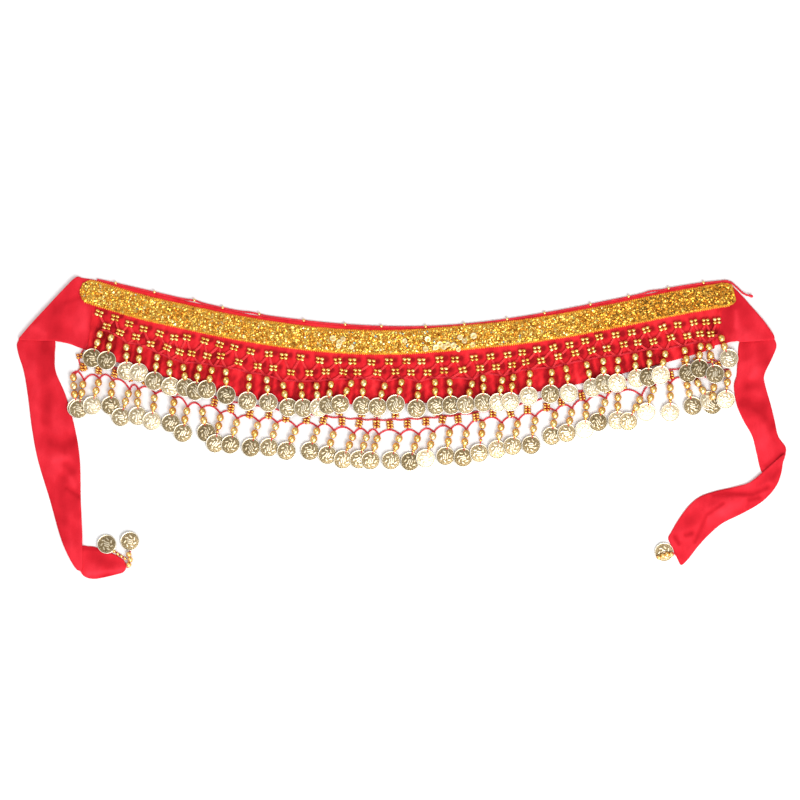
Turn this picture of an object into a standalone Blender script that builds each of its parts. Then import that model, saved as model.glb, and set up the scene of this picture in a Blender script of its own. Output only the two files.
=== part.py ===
"""Belly dance hip scarf of velvet, laid out flat: a crescent belt with sequin trim, crochet nets and two rows of beaded coin strands, and a folded tie at each end. X runs along the belt, Y towards its top edge, Z up from the floor."""

import math
from collections import namedtuple

import bmesh
import bpy
import numpy as np

MM = 0.001
OBJECT_NAME = "belly_dance_hip_scarf"

# The middle of the laid-out plan, which becomes the origin.
PLAN_MIDDLE_X = 1.0
PLAN_MIDDLE_Y = 0.1

# Spaces between pieces that lie on each other, and that meet edge to edge.
SEAM_GAP = 0.3
PARTING = 0.5

# The belt's centre line: a shallow bow, highest at its ends.
BELT_MIDDLE_X = 2.1
BELT_MIDDLE_Y = 90.2
BOW_RADIUS = 71.4
BOW_SLOPE = 0.30

# Depths across the belt, measured down from the centre line, at distances along it.
BeltStation = namedtuple(
    "BeltStation", "along trim_shift top hem bead_row strand_row lower_row"
)
BELT_STATIONS = (
    BeltStation(-345.0, -3.0, 17.0, 58.0, 17.0, 39.0, 89.5),
    BeltStation(-320.0, -2.3, 18.2, 58.0, 17.5, 39.3, 90.5),
    BeltStation(-280.0, 0.3, 18.6, 57.8, 20.7, 44.0, 89.5),
    BeltStation(-230.0, 1.1, 18.0, 62.0, 23.0, 50.0, 92.3),
    BeltStation(-160.0, 2.0, 16.5, 67.0, 23.8, 51.5, 99.1),
    BeltStation(-100.0, 2.0, 17.0, 66.5, 23.0, 50.0, 101.0),
    BeltStation(-20.0, 0.7, 17.0, 62.3, 21.0, 45.2, 102.0),
    BeltStation(60.0, -2.0, 16.8, 60.5, 19.6, 44.7, 98.0),
    BeltStation(150.0, -1.2, 18.0, 59.9, 19.6, 44.7, 90.9),
    BeltStation(230.0, -1.0, 18.6, 56.8, 20.0, 44.5, 87.0),
    BeltStation(290.0, 0.0, 17.6, 55.1, 22.0, 44.0, 87.5),
    BeltStation(320.0, 1.7, 15.2, 53.5, 23.0, 43.0, 88.3),
    BeltStation(346.0, 3.5, 11.6, 52.5, 24.0, 42.0, 88.5),
)

# The seams between the belt and the ties, as distances along at the top edge and at the hem.
LEFT_SEAM_TOP = -325.0
LEFT_SEAM_HEM = -317.0
RIGHT_SEAM_TOP = 348.0
RIGHT_SEAM_HEM = 315.0
SEAM_REACH = 45.0

# Gathers: one soft crest under each strand, from nothing at the trim to full height at the hem.
COLUMNS = 40
COLUMN_PITCH = 16.2
FIRST_COLUMN = -309.0
SAMPLES_A_GATHER = 4
CLOTH_THICKNESS = 1.7
GATHER_RISE = 1.3
GATHER_START = 2.0
EDGING_ROOM = 2.9

# Sequin trim.
TRIM_WIDTH = 24.4
TRIM_THICKNESS = 1.0
TRIM_LEFT_END = -338.0
TRIM_RIGHT_END = 348.0
TRIM_SEGMENTS = 56
TRIM_LEFT_ROUNDING = ((0.0, 0.34), (3.0, 0.78), (7.0, 0.96), (12.0, 1.0))
TRIM_RIGHT_ROUNDING = ((8.0, 1.0), (3.0, 0.84), (0.0, 0.5))

# Crochet edging cord with its loose tail.
EDGING_RADIUS = 1.25
EDGING_SECTION = ((1.25, 0.4), (0.0, 2.5), (-1.25, 0.4))
EDGING_SEGMENTS = 56
EDGING_LEFT_END = -324.0
EDGING_RIGHT_END = 343.0
EDGING_TAIL = ((349.5, 155.0), (355.5, 148.5), (361.5, 144.5), (368.0, 142.0))

# Crochet nets.
NET_THICKNESS = 1.1
NET_ARM = 1.6
NET_KNOT = 2.0
NET_KNOT_STRETCH = 1.4
NET_STRAND_GAP = 6.2
THREAD_WIDTH = 1.6
LOWER_CHAIN_RISE = 20.0
LOWER_CHAIN_WAVE = 1.2
BEAD_POST_WIDTH = 3.6

# Strands: a root in the chain, two large beads and a coin.
CHAIN_WIDTH = 1.5
ROOT_WIDTH = 2.4
LARGE_BEAD_HALF = 3.1
BEAD_WAIST_HALF = 1.1
ROOT_TO_BEAD = 4.0
BEAD_SPACING = 8.0
BEAD_TO_COIN = 3.9
COIN_RADIUS = 10.0
COIN_THICKNESS = 0.9
COIN_SIDES = 10
COIN_ROLL = math.radians(7.0)
LOWER_CHAIN_DIP = 5.5
UPPER_CHAIN_DIP = 1.2
UPPER_SQUARE_SHARE = 0.8
LOWER_SQUARE_SHARE = 0.0
STRAND_SPREAD = 1.1
STRAND_LEAN = -0.10
STRAND_LEAN_SPREAD = 0.055
STRAND_LENGTH_SPREAD = 1.2
END_LEAN = 0.30
END_LEAN_FADE = 1.5
LAST_LEAN = -0.19
SEED = 11

# Heights of the middle of each strand's beads and coin above the floor.
FLOOR_GAP = 0.3
LOWER_BEAD_Z = FLOOR_GAP + LARGE_BEAD_HALF
LOWER_COIN_Z = 2.0
UPPER_COIN_Z = 5.1
UPPER_COIN_NOD = 0.05

# Ties: each stretch runs between cross lines, each from a left or upper edge point to a right or lower one.
TieLine = namedtuple("TieLine", "left_x left_y right_x right_y lift fold")
TIE_CELLS = 6
TIE_LINES_BETWEEN = 2
TIE_FOLD_HEIGHT = 1.1
TIE_RIPPLES_ACROSS = 1.35
TIE_RIPPLES_A_LINE = 0.06
TIE_RIPPLE_START = 0.8
TIE_EDGE_SHARE = 0.04
OVERLAP_LIFT = 2.1

LEFT_SHOULDER = (
    TieLine(-320.7, 155.0, -329.2, 81.2, 0.0, 0.0),
    TieLine(-326.0, 156.5, -337.0, 84.5, 0.0, 0.0),
    TieLine(-333.0, 157.5, -348.6, 88.7, 0.0, 0.1),
    TieLine(-340.0, 158.3, -363.3, 91.3, OVERLAP_LIFT, 1.0),
    TieLine(-351.5, 147.5, -376.0, 91.5, OVERLAP_LIFT, 0.8),
    TieLine(-368.0, 130.0, -389.5, 91.8, OVERLAP_LIFT, 0.5),
    TieLine(-388.5, 107.8, -401.6, 92.4, OVERLAP_LIFT, 0.2),
)
LEFT_DROP = (
    TieLine(-397.5, 96.6, -365.5, 130.5, 0.0, 0.0),
    TieLine(-401.0, 91.0, -362.3, 103.0, 0.0, 0.0),
    TieLine(-402.2, 86.0, -361.7, 86.5, 0.0, 0.4),
    TieLine(-400.0, 75.5, -362.3, 75.5, 0.0, 1.0),
    TieLine(-394.8, 58.8, -361.2, 58.8, 0.0, 1.0),
    TieLine(-390.6, 33.6, -350.7, 33.6, 0.0, 1.0),
    TieLine(-386.4, 0.0, -341.3, 0.0, 0.0, 0.8),
    TieLine(-380.1, -33.6, -336.0, -33.6, 0.0, 0.9),
    TieLine(-367.5, -75.6, -335.0, -75.6, 0.0, 1.0),
    TieLine(-358.0, -109.2, -333.4, -109.2, 1.1, 0.8),
    TieLine(-351.5, -127.0, -333.2, -124.5, OVERLAP_LIFT, 0.5),
    TieLine(-343.4, -142.8, -333.0, -139.0, OVERLAP_LIFT, 0.3),
    TieLine(-337.1, -151.2, -333.2, -149.5, OVERLAP_LIFT, 0.0),
)
LEFT_END = (
    TieLine(-348.0, -127.5, -336.0, -149.5, 0.0, 0.0),
    TieLine(-334.0, -123.6, -332.5, -155.0, 0.0, 0.0),
    TieLine(-327.6, -123.9, -326.6, -157.8, 0.0, 0.6),
    TieLine(-319.2, -125.0, -318.5, -158.3, 0.0, 1.0),
    TieLine(-302.4, -131.3, -305.5, -155.7, 0.0, 1.0),
    TieLine(-291.9, -137.0, -293.0, -152.5, 0.0, 0.7),
    TieLine(-286.1, -142.8, -288.8, -151.0, 0.0, 0.3),
)
RIGHT_SHOULDER = (
    TieLine(346.9, 152.3, 330.9, 86.6, 0.0, 0.0),
    TieLine(358.5, 139.5, 340.0, 88.4, 0.2, 0.3),
    TieLine(369.5, 127.0, 345.5, 90.0, 1.1, 0.8),
    TieLine(381.2, 113.4, 351.7, 90.8, OVERLAP_LIFT, 0.9),
    TieLine(389.5, 101.9, 354.3, 91.1, OVERLAP_LIFT, 0.5),
    TieLine(395.3, 92.6, 356.2, 90.0, OVERLAP_LIFT, 0.1),
)
RIGHT_DROP = (
    TieLine(360.5, 96.3, 390.0, 98.5, 0.0, 0.0),
    TieLine(355.7, 88.0, 395.3, 87.5, 0.0, 0.0),
    TieLine(354.6, 75.6, 391.7, 75.6, 0.0, 0.6),
    TieLine(353.2, 55.6, 382.8, 56.5, 0.0, 1.0),
    TieLine(350.5, 44.1, 383.2, 46.0, 0.0, 1.0),
    TieLine(353.2, 25.2, 389.0, 25.2, 0.0, 1.0),
    TieLine(360.2, 8.4, 393.2, 8.4, 0.0, 1.0),
    TieLine(369.6, -8.4, 396.9, -8.4, 0.0, 0.7),
    TieLine(374.3, -26.5, 401.0, -20.5, 0.0, 0.2),
    TieLine(378.6, -44.0, 402.3, -30.0, 0.0, 0.0),
    TieLine(385.0, -52.5, 400.0, -40.0, 0.0, 0.0),
)
RIGHT_END = (
    TieLine(399.5, -29.8, 404.2, -26.3, OVERLAP_LIFT, 0.0),
    TieLine(389.5, -38.3, 401.9, -35.7, OVERLAP_LIFT, 0.2),
    TieLine(379.1, -47.3, 400.0, -47.3, OVERLAP_LIFT, 0.6),
    TieLine(371.7, -53.6, 395.9, -58.8, OVERLAP_LIFT, 1.0),
    TieLine(363.6, -58.4, 387.5, -70.4, 1.0, 1.0),
    TieLine(347.6, -62.5, 375.9, -80.3, 0.0, 1.0),
    TieLine(331.1, -66.2, 358.1, -90.3, 0.0, 1.0),
    TieLine(315.4, -71.7, 338.1, -100.3, 0.0, 0.9),
    TieLine(303.3, -81.3, 323.4, -112.9, 0.0, 0.9),
    TieLine(291.9, -96.6, 311.9, -125.5, 0.0, 1.0),
    TieLine(284.6, -109.2, 303.5, -136.5, 0.0, 0.7),
    TieLine(282.5, -116.6, 296.1, -142.8, 0.0, 0.2),
)

# Tassels at the tie ends: a root, the beads' size and the way to the coin, for each strand.
TasselStrand = namedtuple("TasselStrand", "root_x root_y coin_x coin_y bead coin_z")
LEFT_TASSEL = (
    TasselStrand(-282.5, -142.0, -283.0, -118.8, 2.6, 2.0),
    TasselStrand(-291.5, -134.2, -308.0, -121.3, 1.5, 4.0),
)
RIGHT_TASSEL = (TasselStrand(287.6, -131.2, 275.4, -130.4, 0.9, 1.9),)
TASSEL_ROOT_WIDTH = 1.8
TASSEL_RINGS = ((0.35, 1.0), (0.68, 0.5), (1.0, 1.0))

VELVET = ("velvet", (0.72, 0.015, 0.035, 1.0), 0.85, 0.0)
CROCHET = ("crochet_thread", (0.55, 0.01, 0.04, 1.0), 0.8, 0.0)
SEQUIN = ("gold_sequin_trim", (0.80, 0.52, 0.12, 1.0), 0.3, 1.0)
COIN = ("gold_coins_and_beads", (0.72, 0.58, 0.30, 1.0), 0.3, 1.0)


def make_material(name, colour, roughness, metallic):
    material = bpy.data.materials.new(name)
    material.use_nodes = True
    shader = material.node_tree.nodes["Principled BSDF"]
    shader.inputs["Base Color"].default_value = colour
    shader.inputs["Roughness"].default_value = roughness
    shader.inputs["Metallic"].default_value = metallic
    return material


def column_of(rows, name, at):
    """A column of a table read as a smooth curve through its rows."""
    stations = np.array([row[0] for row in rows])
    values = np.array([getattr(row, name) for row in rows])
    slopes = np.gradient(values, stations)
    at = np.clip(np.asarray(at, float), stations[0], stations[-1])
    after = np.clip(np.searchsorted(stations, at), 1, len(stations) - 1)
    before = after - 1
    step = stations[after] - stations[before]
    t = (at - stations[before]) / step
    return (
        values[before] * (2 * t**3 - 3 * t**2 + 1)
        + values[after] * (3 * t**2 - 2 * t**3)
        + slopes[before] * step * (t**3 - 2 * t**2 + t)
        + slopes[after] * step * (t**3 - t**2)
    )


def belt_depth(name, along):
    return column_of(BELT_STATIONS, name, along)


def belt_point(along, depth):
    """The place on the floor at a distance along the centre line and a depth square to it."""
    along = np.asarray(along, float)
    bow = np.sqrt(BOW_RADIUS**2 + (BOW_SLOPE * along) ** 2)
    slope = BOW_SLOPE**2 * along / bow
    length = np.sqrt(1 + slope**2)
    x = BELT_MIDDLE_X + along + depth * slope / length
    y = BELT_MIDDLE_Y + bow - BOW_RADIUS - depth / length
    return np.stack(np.broadcast_arrays(x, y), -1)


def ease(t):
    t = np.clip(t, 0.0, 1.0)
    return t * t * (3 - 2 * t)


def crest_height(along, depth):
    """The height of the gathers' crests, which the nets and strands lie on."""
    start = belt_depth("trim_shift", along) + TRIM_WIDTH / 2 + GATHER_START
    hem = belt_depth("hem", along)
    return CLOTH_THICKNESS + GATHER_RISE * ease((depth - start) / (hem - start))


def column_along(index):
    return FIRST_COLUMN + np.asarray(index, float) * COLUMN_PITCH


def new_object(name, mesh_builder, material):
    bmesh.ops.recalc_face_normals(mesh_builder, faces=mesh_builder.faces)
    to_origin = (-PLAN_MIDDLE_X * MM, -PLAN_MIDDLE_Y * MM, 0.0)
    bmesh.ops.translate(mesh_builder, vec=to_origin, verts=mesh_builder.verts)
    mesh = bpy.data.meshes.new(name)
    mesh_builder.to_mesh(mesh)
    mesh_builder.free()
    mesh.materials.append(material)
    obj = bpy.data.objects.new(name, mesh)
    bpy.data.collections[OBJECT_NAME].objects.link(obj)
    return obj


def plate(name, places, faces, low, high, material, under_faces=None):
    """A flat-laid piece: faces above, the same or fewer below, and a wall round each open edge."""
    places = np.asarray(places, float).reshape(-1, 2)
    low = np.broadcast_to(low, len(places))
    high = np.broadcast_to(high, len(places))
    builder = bmesh.new()
    under = [builder.verts.new((x * MM, y * MM, z * MM)) for (x, y), z in zip(places, low)]
    over = [builder.verts.new((x * MM, y * MM, z * MM)) for (x, y), z in zip(places, high)]
    used = {}
    for face in faces:
        builder.faces.new([over[i] for i in face])
        for start, end in zip(face, face[1:] + face[:1]):
            used[(start, end)] = used.get((start, end), 0) + 1
    for face in under_faces or faces:
        builder.faces.new([under[i] for i in reversed(face)])
    for start, end in used:
        if (end, start) not in used:
            builder.faces.new([over[end], over[start], under[start], under[end]])
    loose = [vertex for vertex in under if not vertex.link_faces]
    bmesh.ops.delete(builder, geom=loose, context="VERTS")
    return new_object(name, builder, material)


def grid_faces(rows, columns):
    """Counter-clockwise quads of a grid whose points are listed row by row."""
    return [
        [r * columns + c, (r + 1) * columns + c, (r + 1) * columns + c + 1, r * columns + c + 1]
        for r in range(rows - 1)
        for c in range(columns - 1)
    ]


def strip_faces(rows, columns):
    """The underside of a grid: one face a row, from edge to edge, and a fan at each of the two end lines."""
    last = columns - 1
    start, end = columns, (rows - 2) * columns
    faces = [[c, start, c + 1] for c in range(last)]
    faces.append([last, start, start + last])
    for r in range(1, rows - 2):
        first = r * columns
        faces.append([first, first + columns, first + columns + last, first + last])
    faces += [[end, end + columns + c, end + columns + c + 1] for c in range(last)]
    faces.append([end, end + columns + last, end + last])
    return faces


def seam_shift(along, depth, seam_top, seam_hem, rest):
    """How far a line across the belt moves so that the last one lies on a slanting seam."""
    top, hem = -belt_depth("top", rest), belt_depth("hem", rest)
    across = (depth - top) / (hem - top)
    wanted = seam_top + (seam_hem - seam_top) * across
    near = ease(1 - np.abs(along - rest) / SEAM_REACH)
    return (wanted - rest) * near


def belt_depths(along):
    """Depths of the belt's four lengthwise lines: top edge, below the trim, mid gather and hem."""
    top = -belt_depth("top", along[0]) + EDGING_ROOM
    trim = belt_depth("trim_shift", along[1]) + TRIM_WIDTH / 2 + GATHER_START
    hem = belt_depth("hem", along[3])
    return np.array([top, trim, (trim + 2 * hem) / 3, hem])


def make_belt(material):
    step = COLUMN_PITCH / SAMPLES_A_GATHER
    left_rest = (LEFT_SEAM_TOP + LEFT_SEAM_HEM) / 2
    right_rest = (RIGHT_SEAM_TOP + RIGHT_SEAM_HEM) / 2
    inner = np.arange(FIRST_COLUMN - 2 * step, right_rest - step / 2, step)
    lines = np.concatenate([[left_rest], inner, [right_rest]])
    places, heights = [], []
    for along in lines:
        depths = belt_depths(np.full(4, along))
        moved = (
            along
            + seam_shift(along, depths, LEFT_SEAM_TOP, LEFT_SEAM_HEM, left_rest)
            + seam_shift(along, depths, RIGHT_SEAM_TOP, RIGHT_SEAM_HEM, right_rest)
        )
        places.append(belt_point(moved, belt_depths(moved)))
        phase = 2 * math.pi * (along - FIRST_COLUMN) / COLUMN_PITCH
        crest = crest_height(along, depths) - CLOTH_THICKNESS
        heights.append(CLOTH_THICKNESS + crest * (0.5 + 0.5 * math.cos(phase)))
    places = np.array(places)
    faces = [face[::-1] for face in grid_faces(*places.shape[:2])]
    under = [face[::-1] for face in strip_faces(*places.shape[:2])]
    return plate("belt_panel", places, faces, 0.0, np.array(heights).ravel(), material, under)


def make_trim(material):
    """The sequin trim: one strip with a rounded left end and eased corners at its right."""
    left = [(TRIM_LEFT_END + inset, share) for inset, share in TRIM_LEFT_ROUNDING]
    right = [(TRIM_RIGHT_END - inset, share) for inset, share in TRIM_RIGHT_ROUNDING]
    inner = np.linspace(left[-1][0], right[0][0], TRIM_SEGMENTS)[1:-1]
    lines = left + [(along, 1.0) for along in inner] + right
    places = []
    for along, share in lines:
        middle = belt_depth("trim_shift", along)
        half = TRIM_WIDTH / 2 * share
        places.append(belt_point(along, np.array([middle - half, middle + half])))
    low = CLOTH_THICKNESS + SEAM_GAP
    faces = [face[::-1] for face in grid_faces(len(lines), 2)]
    return plate("sequin_trim", places, faces, low, low + TRIM_THICKNESS, material)


def make_edging(material):
    """The crochet cord along the top edge, which ends in a loose tail beside the right tie."""
    along = np.linspace(EDGING_LEFT_END, EDGING_RIGHT_END, EDGING_SEGMENTS)
    depth = -belt_depth("top", along) + EDGING_RADIUS
    path = np.concatenate([belt_point(along, depth), np.array(EDGING_TAIL)])
    ahead = np.gradient(path, axis=0)
    ahead /= np.linalg.norm(ahead, axis=1)[:, None]
    side = np.stack([-ahead[:, 1], ahead[:, 0]], -1)
    builder = bmesh.new()
    rings = []
    for (x, y), (sx, sy) in zip(path, side):
        ring = []
        for across, z in EDGING_SECTION:
            place = (x + sx * across, y + sy * across, FLOOR_GAP + z)
            ring.append(builder.verts.new([part * MM for part in place]))
        rings.append(ring)
    for before, after in zip(rings, rings[1:]):
        for i in range(3):
            j = (i + 1) % 3
            builder.faces.new([before[i], before[j], after[j], after[i]])
    builder.faces.new(rings[0][::-1])
    builder.faces.new(rings[-1])
    return new_object("top_edging", builder, material)


def make_bead_net(material):
    """A row of open diamonds over the gathers: knots above, between and below, joined by arms."""
    points, faces = [], []

    def add(along, depth):
        points.append((along, depth))
        return len(points) - 1

    def knot(index):
        along = column_along(index)
        middle = (
            belt_depth("bead_row", along)
            + belt_depth("strand_row", along)
            - NET_STRAND_GAP
        ) / 2
        half = NET_KNOT / 2
        return [
            add(along, middle - half),
            add(along - half * NET_KNOT_STRETCH, middle),
            add(along, middle + half),
            add(along + half * NET_KNOT_STRETCH, middle),
        ]

    before = knot(-0.5)
    faces.append(before)
    for index in range(COLUMNS):
        along = column_along(index)
        upper = belt_depth("bead_row", along)
        lower = belt_depth("strand_row", along) - NET_STRAND_GAP
        after = knot(index + 0.5)
        upper_out, upper_in = add(along, upper - NET_ARM), add(along, upper)
        lower_in, lower_out = add(along, lower - NET_ARM), add(along, lower)
        faces.append(after)
        faces.append([before[0], before[3], upper_in, upper_out])
        faces.append([upper_out, upper_in, after[1], after[0]])
        faces.append([before[3], before[2], lower_out, lower_in])
        faces.append([lower_in, lower_out, after[2], after[1]])
        before = after
    along, depth = np.array(points).T
    low = crest_height(along, depth) + SEAM_GAP
    places = belt_point(along, depth)
    return plate("bead_net", places, faces, low, low + NET_THICKNESS, material)


def lower_chain_depth(along):
    return belt_depth("lower_row", along) - LOWER_CHAIN_RISE


def make_lower_net(material):
    """Threads from the hem, the wavy chain that they end in, and a post of beads under each window."""
    points, faces = [], []

    def add(along, depth):
        points.append((along, depth))
        return len(points) - 1

    def pad(index, width, wave):
        along = column_along(index)
        depth = lower_chain_depth(along) + wave
        half = width / 2
        left_up, right_up = add(along - half, depth), add(along + half, depth)
        right_low = add(along + half, depth + CHAIN_WIDTH)
        left_low = add(along - half, depth + CHAIN_WIDTH)
        faces.append([left_up, left_low, right_low, right_up])
        return left_up, right_up, right_low, left_low

    before = None
    for half_step in range(-1, 2 * COLUMNS - 1):
        index = half_step / 2
        along = column_along(index)
        under_hem = half_step % 2 == 0
        width = THREAD_WIDTH if under_hem else BEAD_POST_WIDTH
        now = pad(index, width, LOWER_CHAIN_WAVE if under_hem else 0.0)
        if under_hem:
            end = belt_depth("hem", along) + PARTING
            left, right = add(along - width / 2, end), add(along + width / 2, end)
            faces.append([left, now[0], now[1], right])
        else:
            end = belt_depth("lower_row", along) - ROOT_TO_BEAD - LOWER_CHAIN_DIP
            end -= CHAIN_WIDTH + PARTING
            left, right = add(along - width / 2, end), add(along + width / 2, end)
            faces.append([now[3], left, right, now[2]])
        if before:
            faces.append([before[1], before[2], now[3], now[0]])
        before = now
    along, depth = np.array(points).T
    places = belt_point(along, depth)
    return plate(
        "lower_net", places, faces, FLOOR_GAP, FLOOR_GAP + NET_THICKNESS, material
    )


class StrandedChain:
    """A chain of four-cornered rings, some of whose links each carry a strand of beads that ends in a coin."""

    def __init__(self):
        self.builder = bmesh.new()
        self.last_ring = None

    def vertex(self, place, z):
        return self.builder.verts.new((place[0] * MM, place[1] * MM, z * MM))

    def join(self, before, after, skip=None):
        for i in range(4):
            if i != skip:
                j = (i + 1) % 4
                self.builder.faces.new([before[i], before[j], after[j], after[i]])

    def ring(self, place, back, width, low, high, skip=None):
        """A ring of the chain. Its corners are back high, front high, front low and back low."""
        place, back = np.asarray(place), np.asarray(back)
        rear = place + back * width
        now = [
            self.vertex(rear, high),
            self.vertex(place, high),
            self.vertex(place, low),
            self.vertex(rear, low),
        ]
        if self.last_ring is None:
            self.builder.faces.new(now)
        else:
            self.join(self.last_ring, now, skip)
        before, self.last_ring = self.last_ring, now
        return before, now

    def finish_chain(self):
        self.builder.faces.new(self.last_ring[::-1])

    def strand(self, before, now, root, ahead, beads, coin_z, roll, nod=0.0):
        """A strand from the open link between two rings: beads as (distance, half width, height), then the coin."""
        side = np.array([-ahead[1], ahead[0]])
        last = [before[1], now[1], now[2], before[2]]
        for distance, half, z in beads:
            middle = root + ahead * distance
            ring = [
                self.vertex(middle - side * half, z + half),
                self.vertex(middle + side * half, z + half),
                self.vertex(middle + side * half, z - half),
                self.vertex(middle - side * half, z - half),
            ]
            self.join(last, ring)
            last = ring
        reach = beads[-1][0] + BEAD_TO_COIN * beads[-1][1] / LARGE_BEAD_HALF
        apothem = COIN_RADIUS * math.cos(math.pi / COIN_SIDES)
        centre = root + ahead * (reach + apothem)
        over, under = [], []
        for i in range(COIN_SIDES):
            angle = (2 * i - 1) * math.pi / COIN_SIDES
            out = -math.cos(angle) * COIN_RADIUS
            across = math.sin(angle) * COIN_RADIUS
            place = centre + ahead * out + side * across
            z = coin_z - across * math.tan(roll) - out * nod
            over.append(self.vertex(place, z + COIN_THICKNESS / 2))
            under.append(self.vertex(place, z - COIN_THICKNESS / 2))
        self.join(last, [over[0], over[1], under[1], under[0]])
        self.builder.faces.new(over)
        self.builder.faces.new(under[::-1])
        for i in range(1, COIN_SIDES):
            j = (i + 1) % COIN_SIDES
            self.builder.faces.new([over[i], over[j], under[j], under[i]])


def strand_beads(count, length_change, bead_z):
    """Rings for a strand's beads: its widest place on each bead, and a waist between two."""
    first = ROOT_TO_BEAD + length_change
    halves = [LARGE_BEAD_HALF, BEAD_WAIST_HALF]
    return [
        (first + i * BEAD_SPACING / 2, halves[i % 2], bead_z) for i in range(2 * count - 1)
    ]


def direction(square_share, along, lean):
    """The way a strand hangs: between square to the belt and straight down, with a lean."""
    square = belt_point(along, 1.0) - belt_point(along, 0.0)
    down = np.array([0.0, -1.0])
    way = square * square_share + down * (1 - square_share) + np.array([lean, 0.0])
    return way / np.linalg.norm(way)


def make_fringe(name, first, count, row, dip, square_share, material):
    """A chain with one strand a column: its links dip to each root and rise between them."""
    lower = name == "lower_fringe"
    random = np.random.default_rng(SEED + count)
    moves = random.uniform(-1, 1, (count, 3))
    chain = StrandedChain()
    for step in range(count):
        index = first + step
        inside = 0 < step < count - 1
        along = column_along(index) + STRAND_SPREAD * moves[step, 0] * inside
        depth = belt_depth(row, along) - ROOT_TO_BEAD
        place, back = belt_point(along, depth), belt_point(along, -1.0) - belt_point(along, 0.0)
        side = np.array([back[1], -back[0]])
        low = FLOOR_GAP if lower else crest_height(along, depth) + SEAM_GAP
        high = low + NET_THICKNESS
        half = side * ROOT_WIDTH / 2
        chain.ring(place - half, back, CHAIN_WIDTH, low, high)
        before, now = chain.ring(place + half, back, CHAIN_WIDTH, low, high, skip=1)
        lean = STRAND_LEAN + STRAND_LEAN_SPREAD * moves[step, 1]
        if lower:
            lean += END_LEAN * math.exp(-step / END_LEAN_FADE)
            if not inside and step:
                lean = LAST_LEAN
        ahead = direction(square_share, along, lean)
        length = STRAND_LENGTH_SPREAD * (moves[step, 2] * 0.5 + 0.5) * inside
        hem = belt_depth("hem", along)
        bead_z = LOWER_BEAD_Z if lower else crest_height(along, hem) + SEAM_GAP + LARGE_BEAD_HALF
        coin_z = LOWER_COIN_Z if lower else UPPER_COIN_Z
        nod = 0.0 if lower else UPPER_COIN_NOD
        beads = strand_beads(3 if lower and step == 0 else 2, length, bead_z)
        chain.strand(before, now, place, ahead, beads, coin_z, COIN_ROLL, nod)
        if step < count - 1:
            between = column_along(index + 0.5)
            depth = belt_depth(row, between) - ROOT_TO_BEAD - dip
            low = FLOOR_GAP if lower else crest_height(between, depth + dip) + SEAM_GAP
            back = belt_point(between, -1.0) - belt_point(between, 0.0)
            chain.ring(belt_point(between, depth), back, CHAIN_WIDTH, low, low + NET_THICKNESS)
    chain.finish_chain()
    return new_object(name, chain.builder, material)


def make_tassel(name, strands, material):
    """A short knotted chain off a tie's end, with its strands of small beads and coins."""
    chain = StrandedChain()
    roots = np.array([[strand.root_x, strand.root_y] for strand in strands])
    coins = np.array([[strand.coin_x, strand.coin_y] for strand in strands])
    hang = coins[0] - roots[0]
    run = roots[-1] - roots[0] if len(strands) > 1 else np.array([-hang[1], hang[0]])
    run /= np.linalg.norm(run)
    back, side = np.array([-run[1], run[0]]), run * TASSEL_ROOT_WIDTH / 2
    for strand, root, coin in zip(strands, roots, coins):
        ahead = (coin - root) / np.linalg.norm(coin - root)
        apothem = COIN_RADIUS * math.cos(math.pi / COIN_SIDES)
        span = np.linalg.norm(coin - root) - apothem
        low, high = FLOOR_GAP, FLOOR_GAP + NET_THICKNESS
        chain.ring(root - side, back, CHAIN_WIDTH, low, high)
        before, now = chain.ring(root + side, back, CHAIN_WIDTH, low, high, skip=1)
        last = span - BEAD_TO_COIN * strand.bead / LARGE_BEAD_HALF
        z = max(FLOOR_GAP + strand.bead, min(strand.coin_z, FLOOR_GAP + 2 * strand.bead))
        beads = [(last * share, strand.bead * width, z) for share, width in TASSEL_RINGS]
        chain.strand(before, now, root, ahead, beads, strand.coin_z, 0.0)
    chain.finish_chain()
    return new_object(name, chain.builder, material)


def make_tie(name, lines, material):
    """One stretch of a tie: a strip between its cross lines, with soft folds that run along it."""
    table = np.array(lines)
    steps = np.arange(len(table))
    rows = [namedtuple("Step", ("step",) + TieLine._fields)(*row) for row in zip(steps, *table.T)]
    at = np.linspace(0, len(table) - 1, TIE_LINES_BETWEEN * (len(table) - 1) + 1)
    left = np.stack([column_of(rows, "left_x", at), column_of(rows, "left_y", at)], -1)
    right = np.stack([column_of(rows, "right_x", at), column_of(rows, "right_y", at)], -1)
    lift = np.interp(at, steps, table[:, 4])
    fold = np.interp(at, steps, table[:, 5])
    across = np.linspace(0, 1, TIE_CELLS + 1)
    places = left[:, None] + (right - left)[:, None] * across[None, :, None]
    run = np.arange(len(at)) / TIE_LINES_BETWEEN
    turns = TIE_RIPPLES_ACROSS * across[None] + TIE_RIPPLES_A_LINE * run[:, None]
    ripple = 0.5 + 0.5 * np.sin(2 * math.pi * turns + TIE_RIPPLE_START)
    inside = np.clip(across, TIE_EDGE_SHARE, 1 - TIE_EDGE_SHARE)
    shape = ripple * np.sin(math.pi * inside)[None] ** 0.5
    low = np.repeat(lift[:, None], len(across), 1)
    high = low + CLOTH_THICKNESS + TIE_FOLD_HEIGHT * fold[:, None] * shape
    faces, under = grid_faces(*places.shape[:2]), strip_faces(*places.shape[:2])
    ahead, side = places[1, 0] - places[0, 0], places[0, -1] - places[0, 0]
    if ahead[0] * side[1] < ahead[1] * side[0]:
        faces, under = [f[::-1] for f in faces], [f[::-1] for f in under]
    return plate(name, places, faces, low.ravel(), high.ravel(), material, under)


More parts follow.
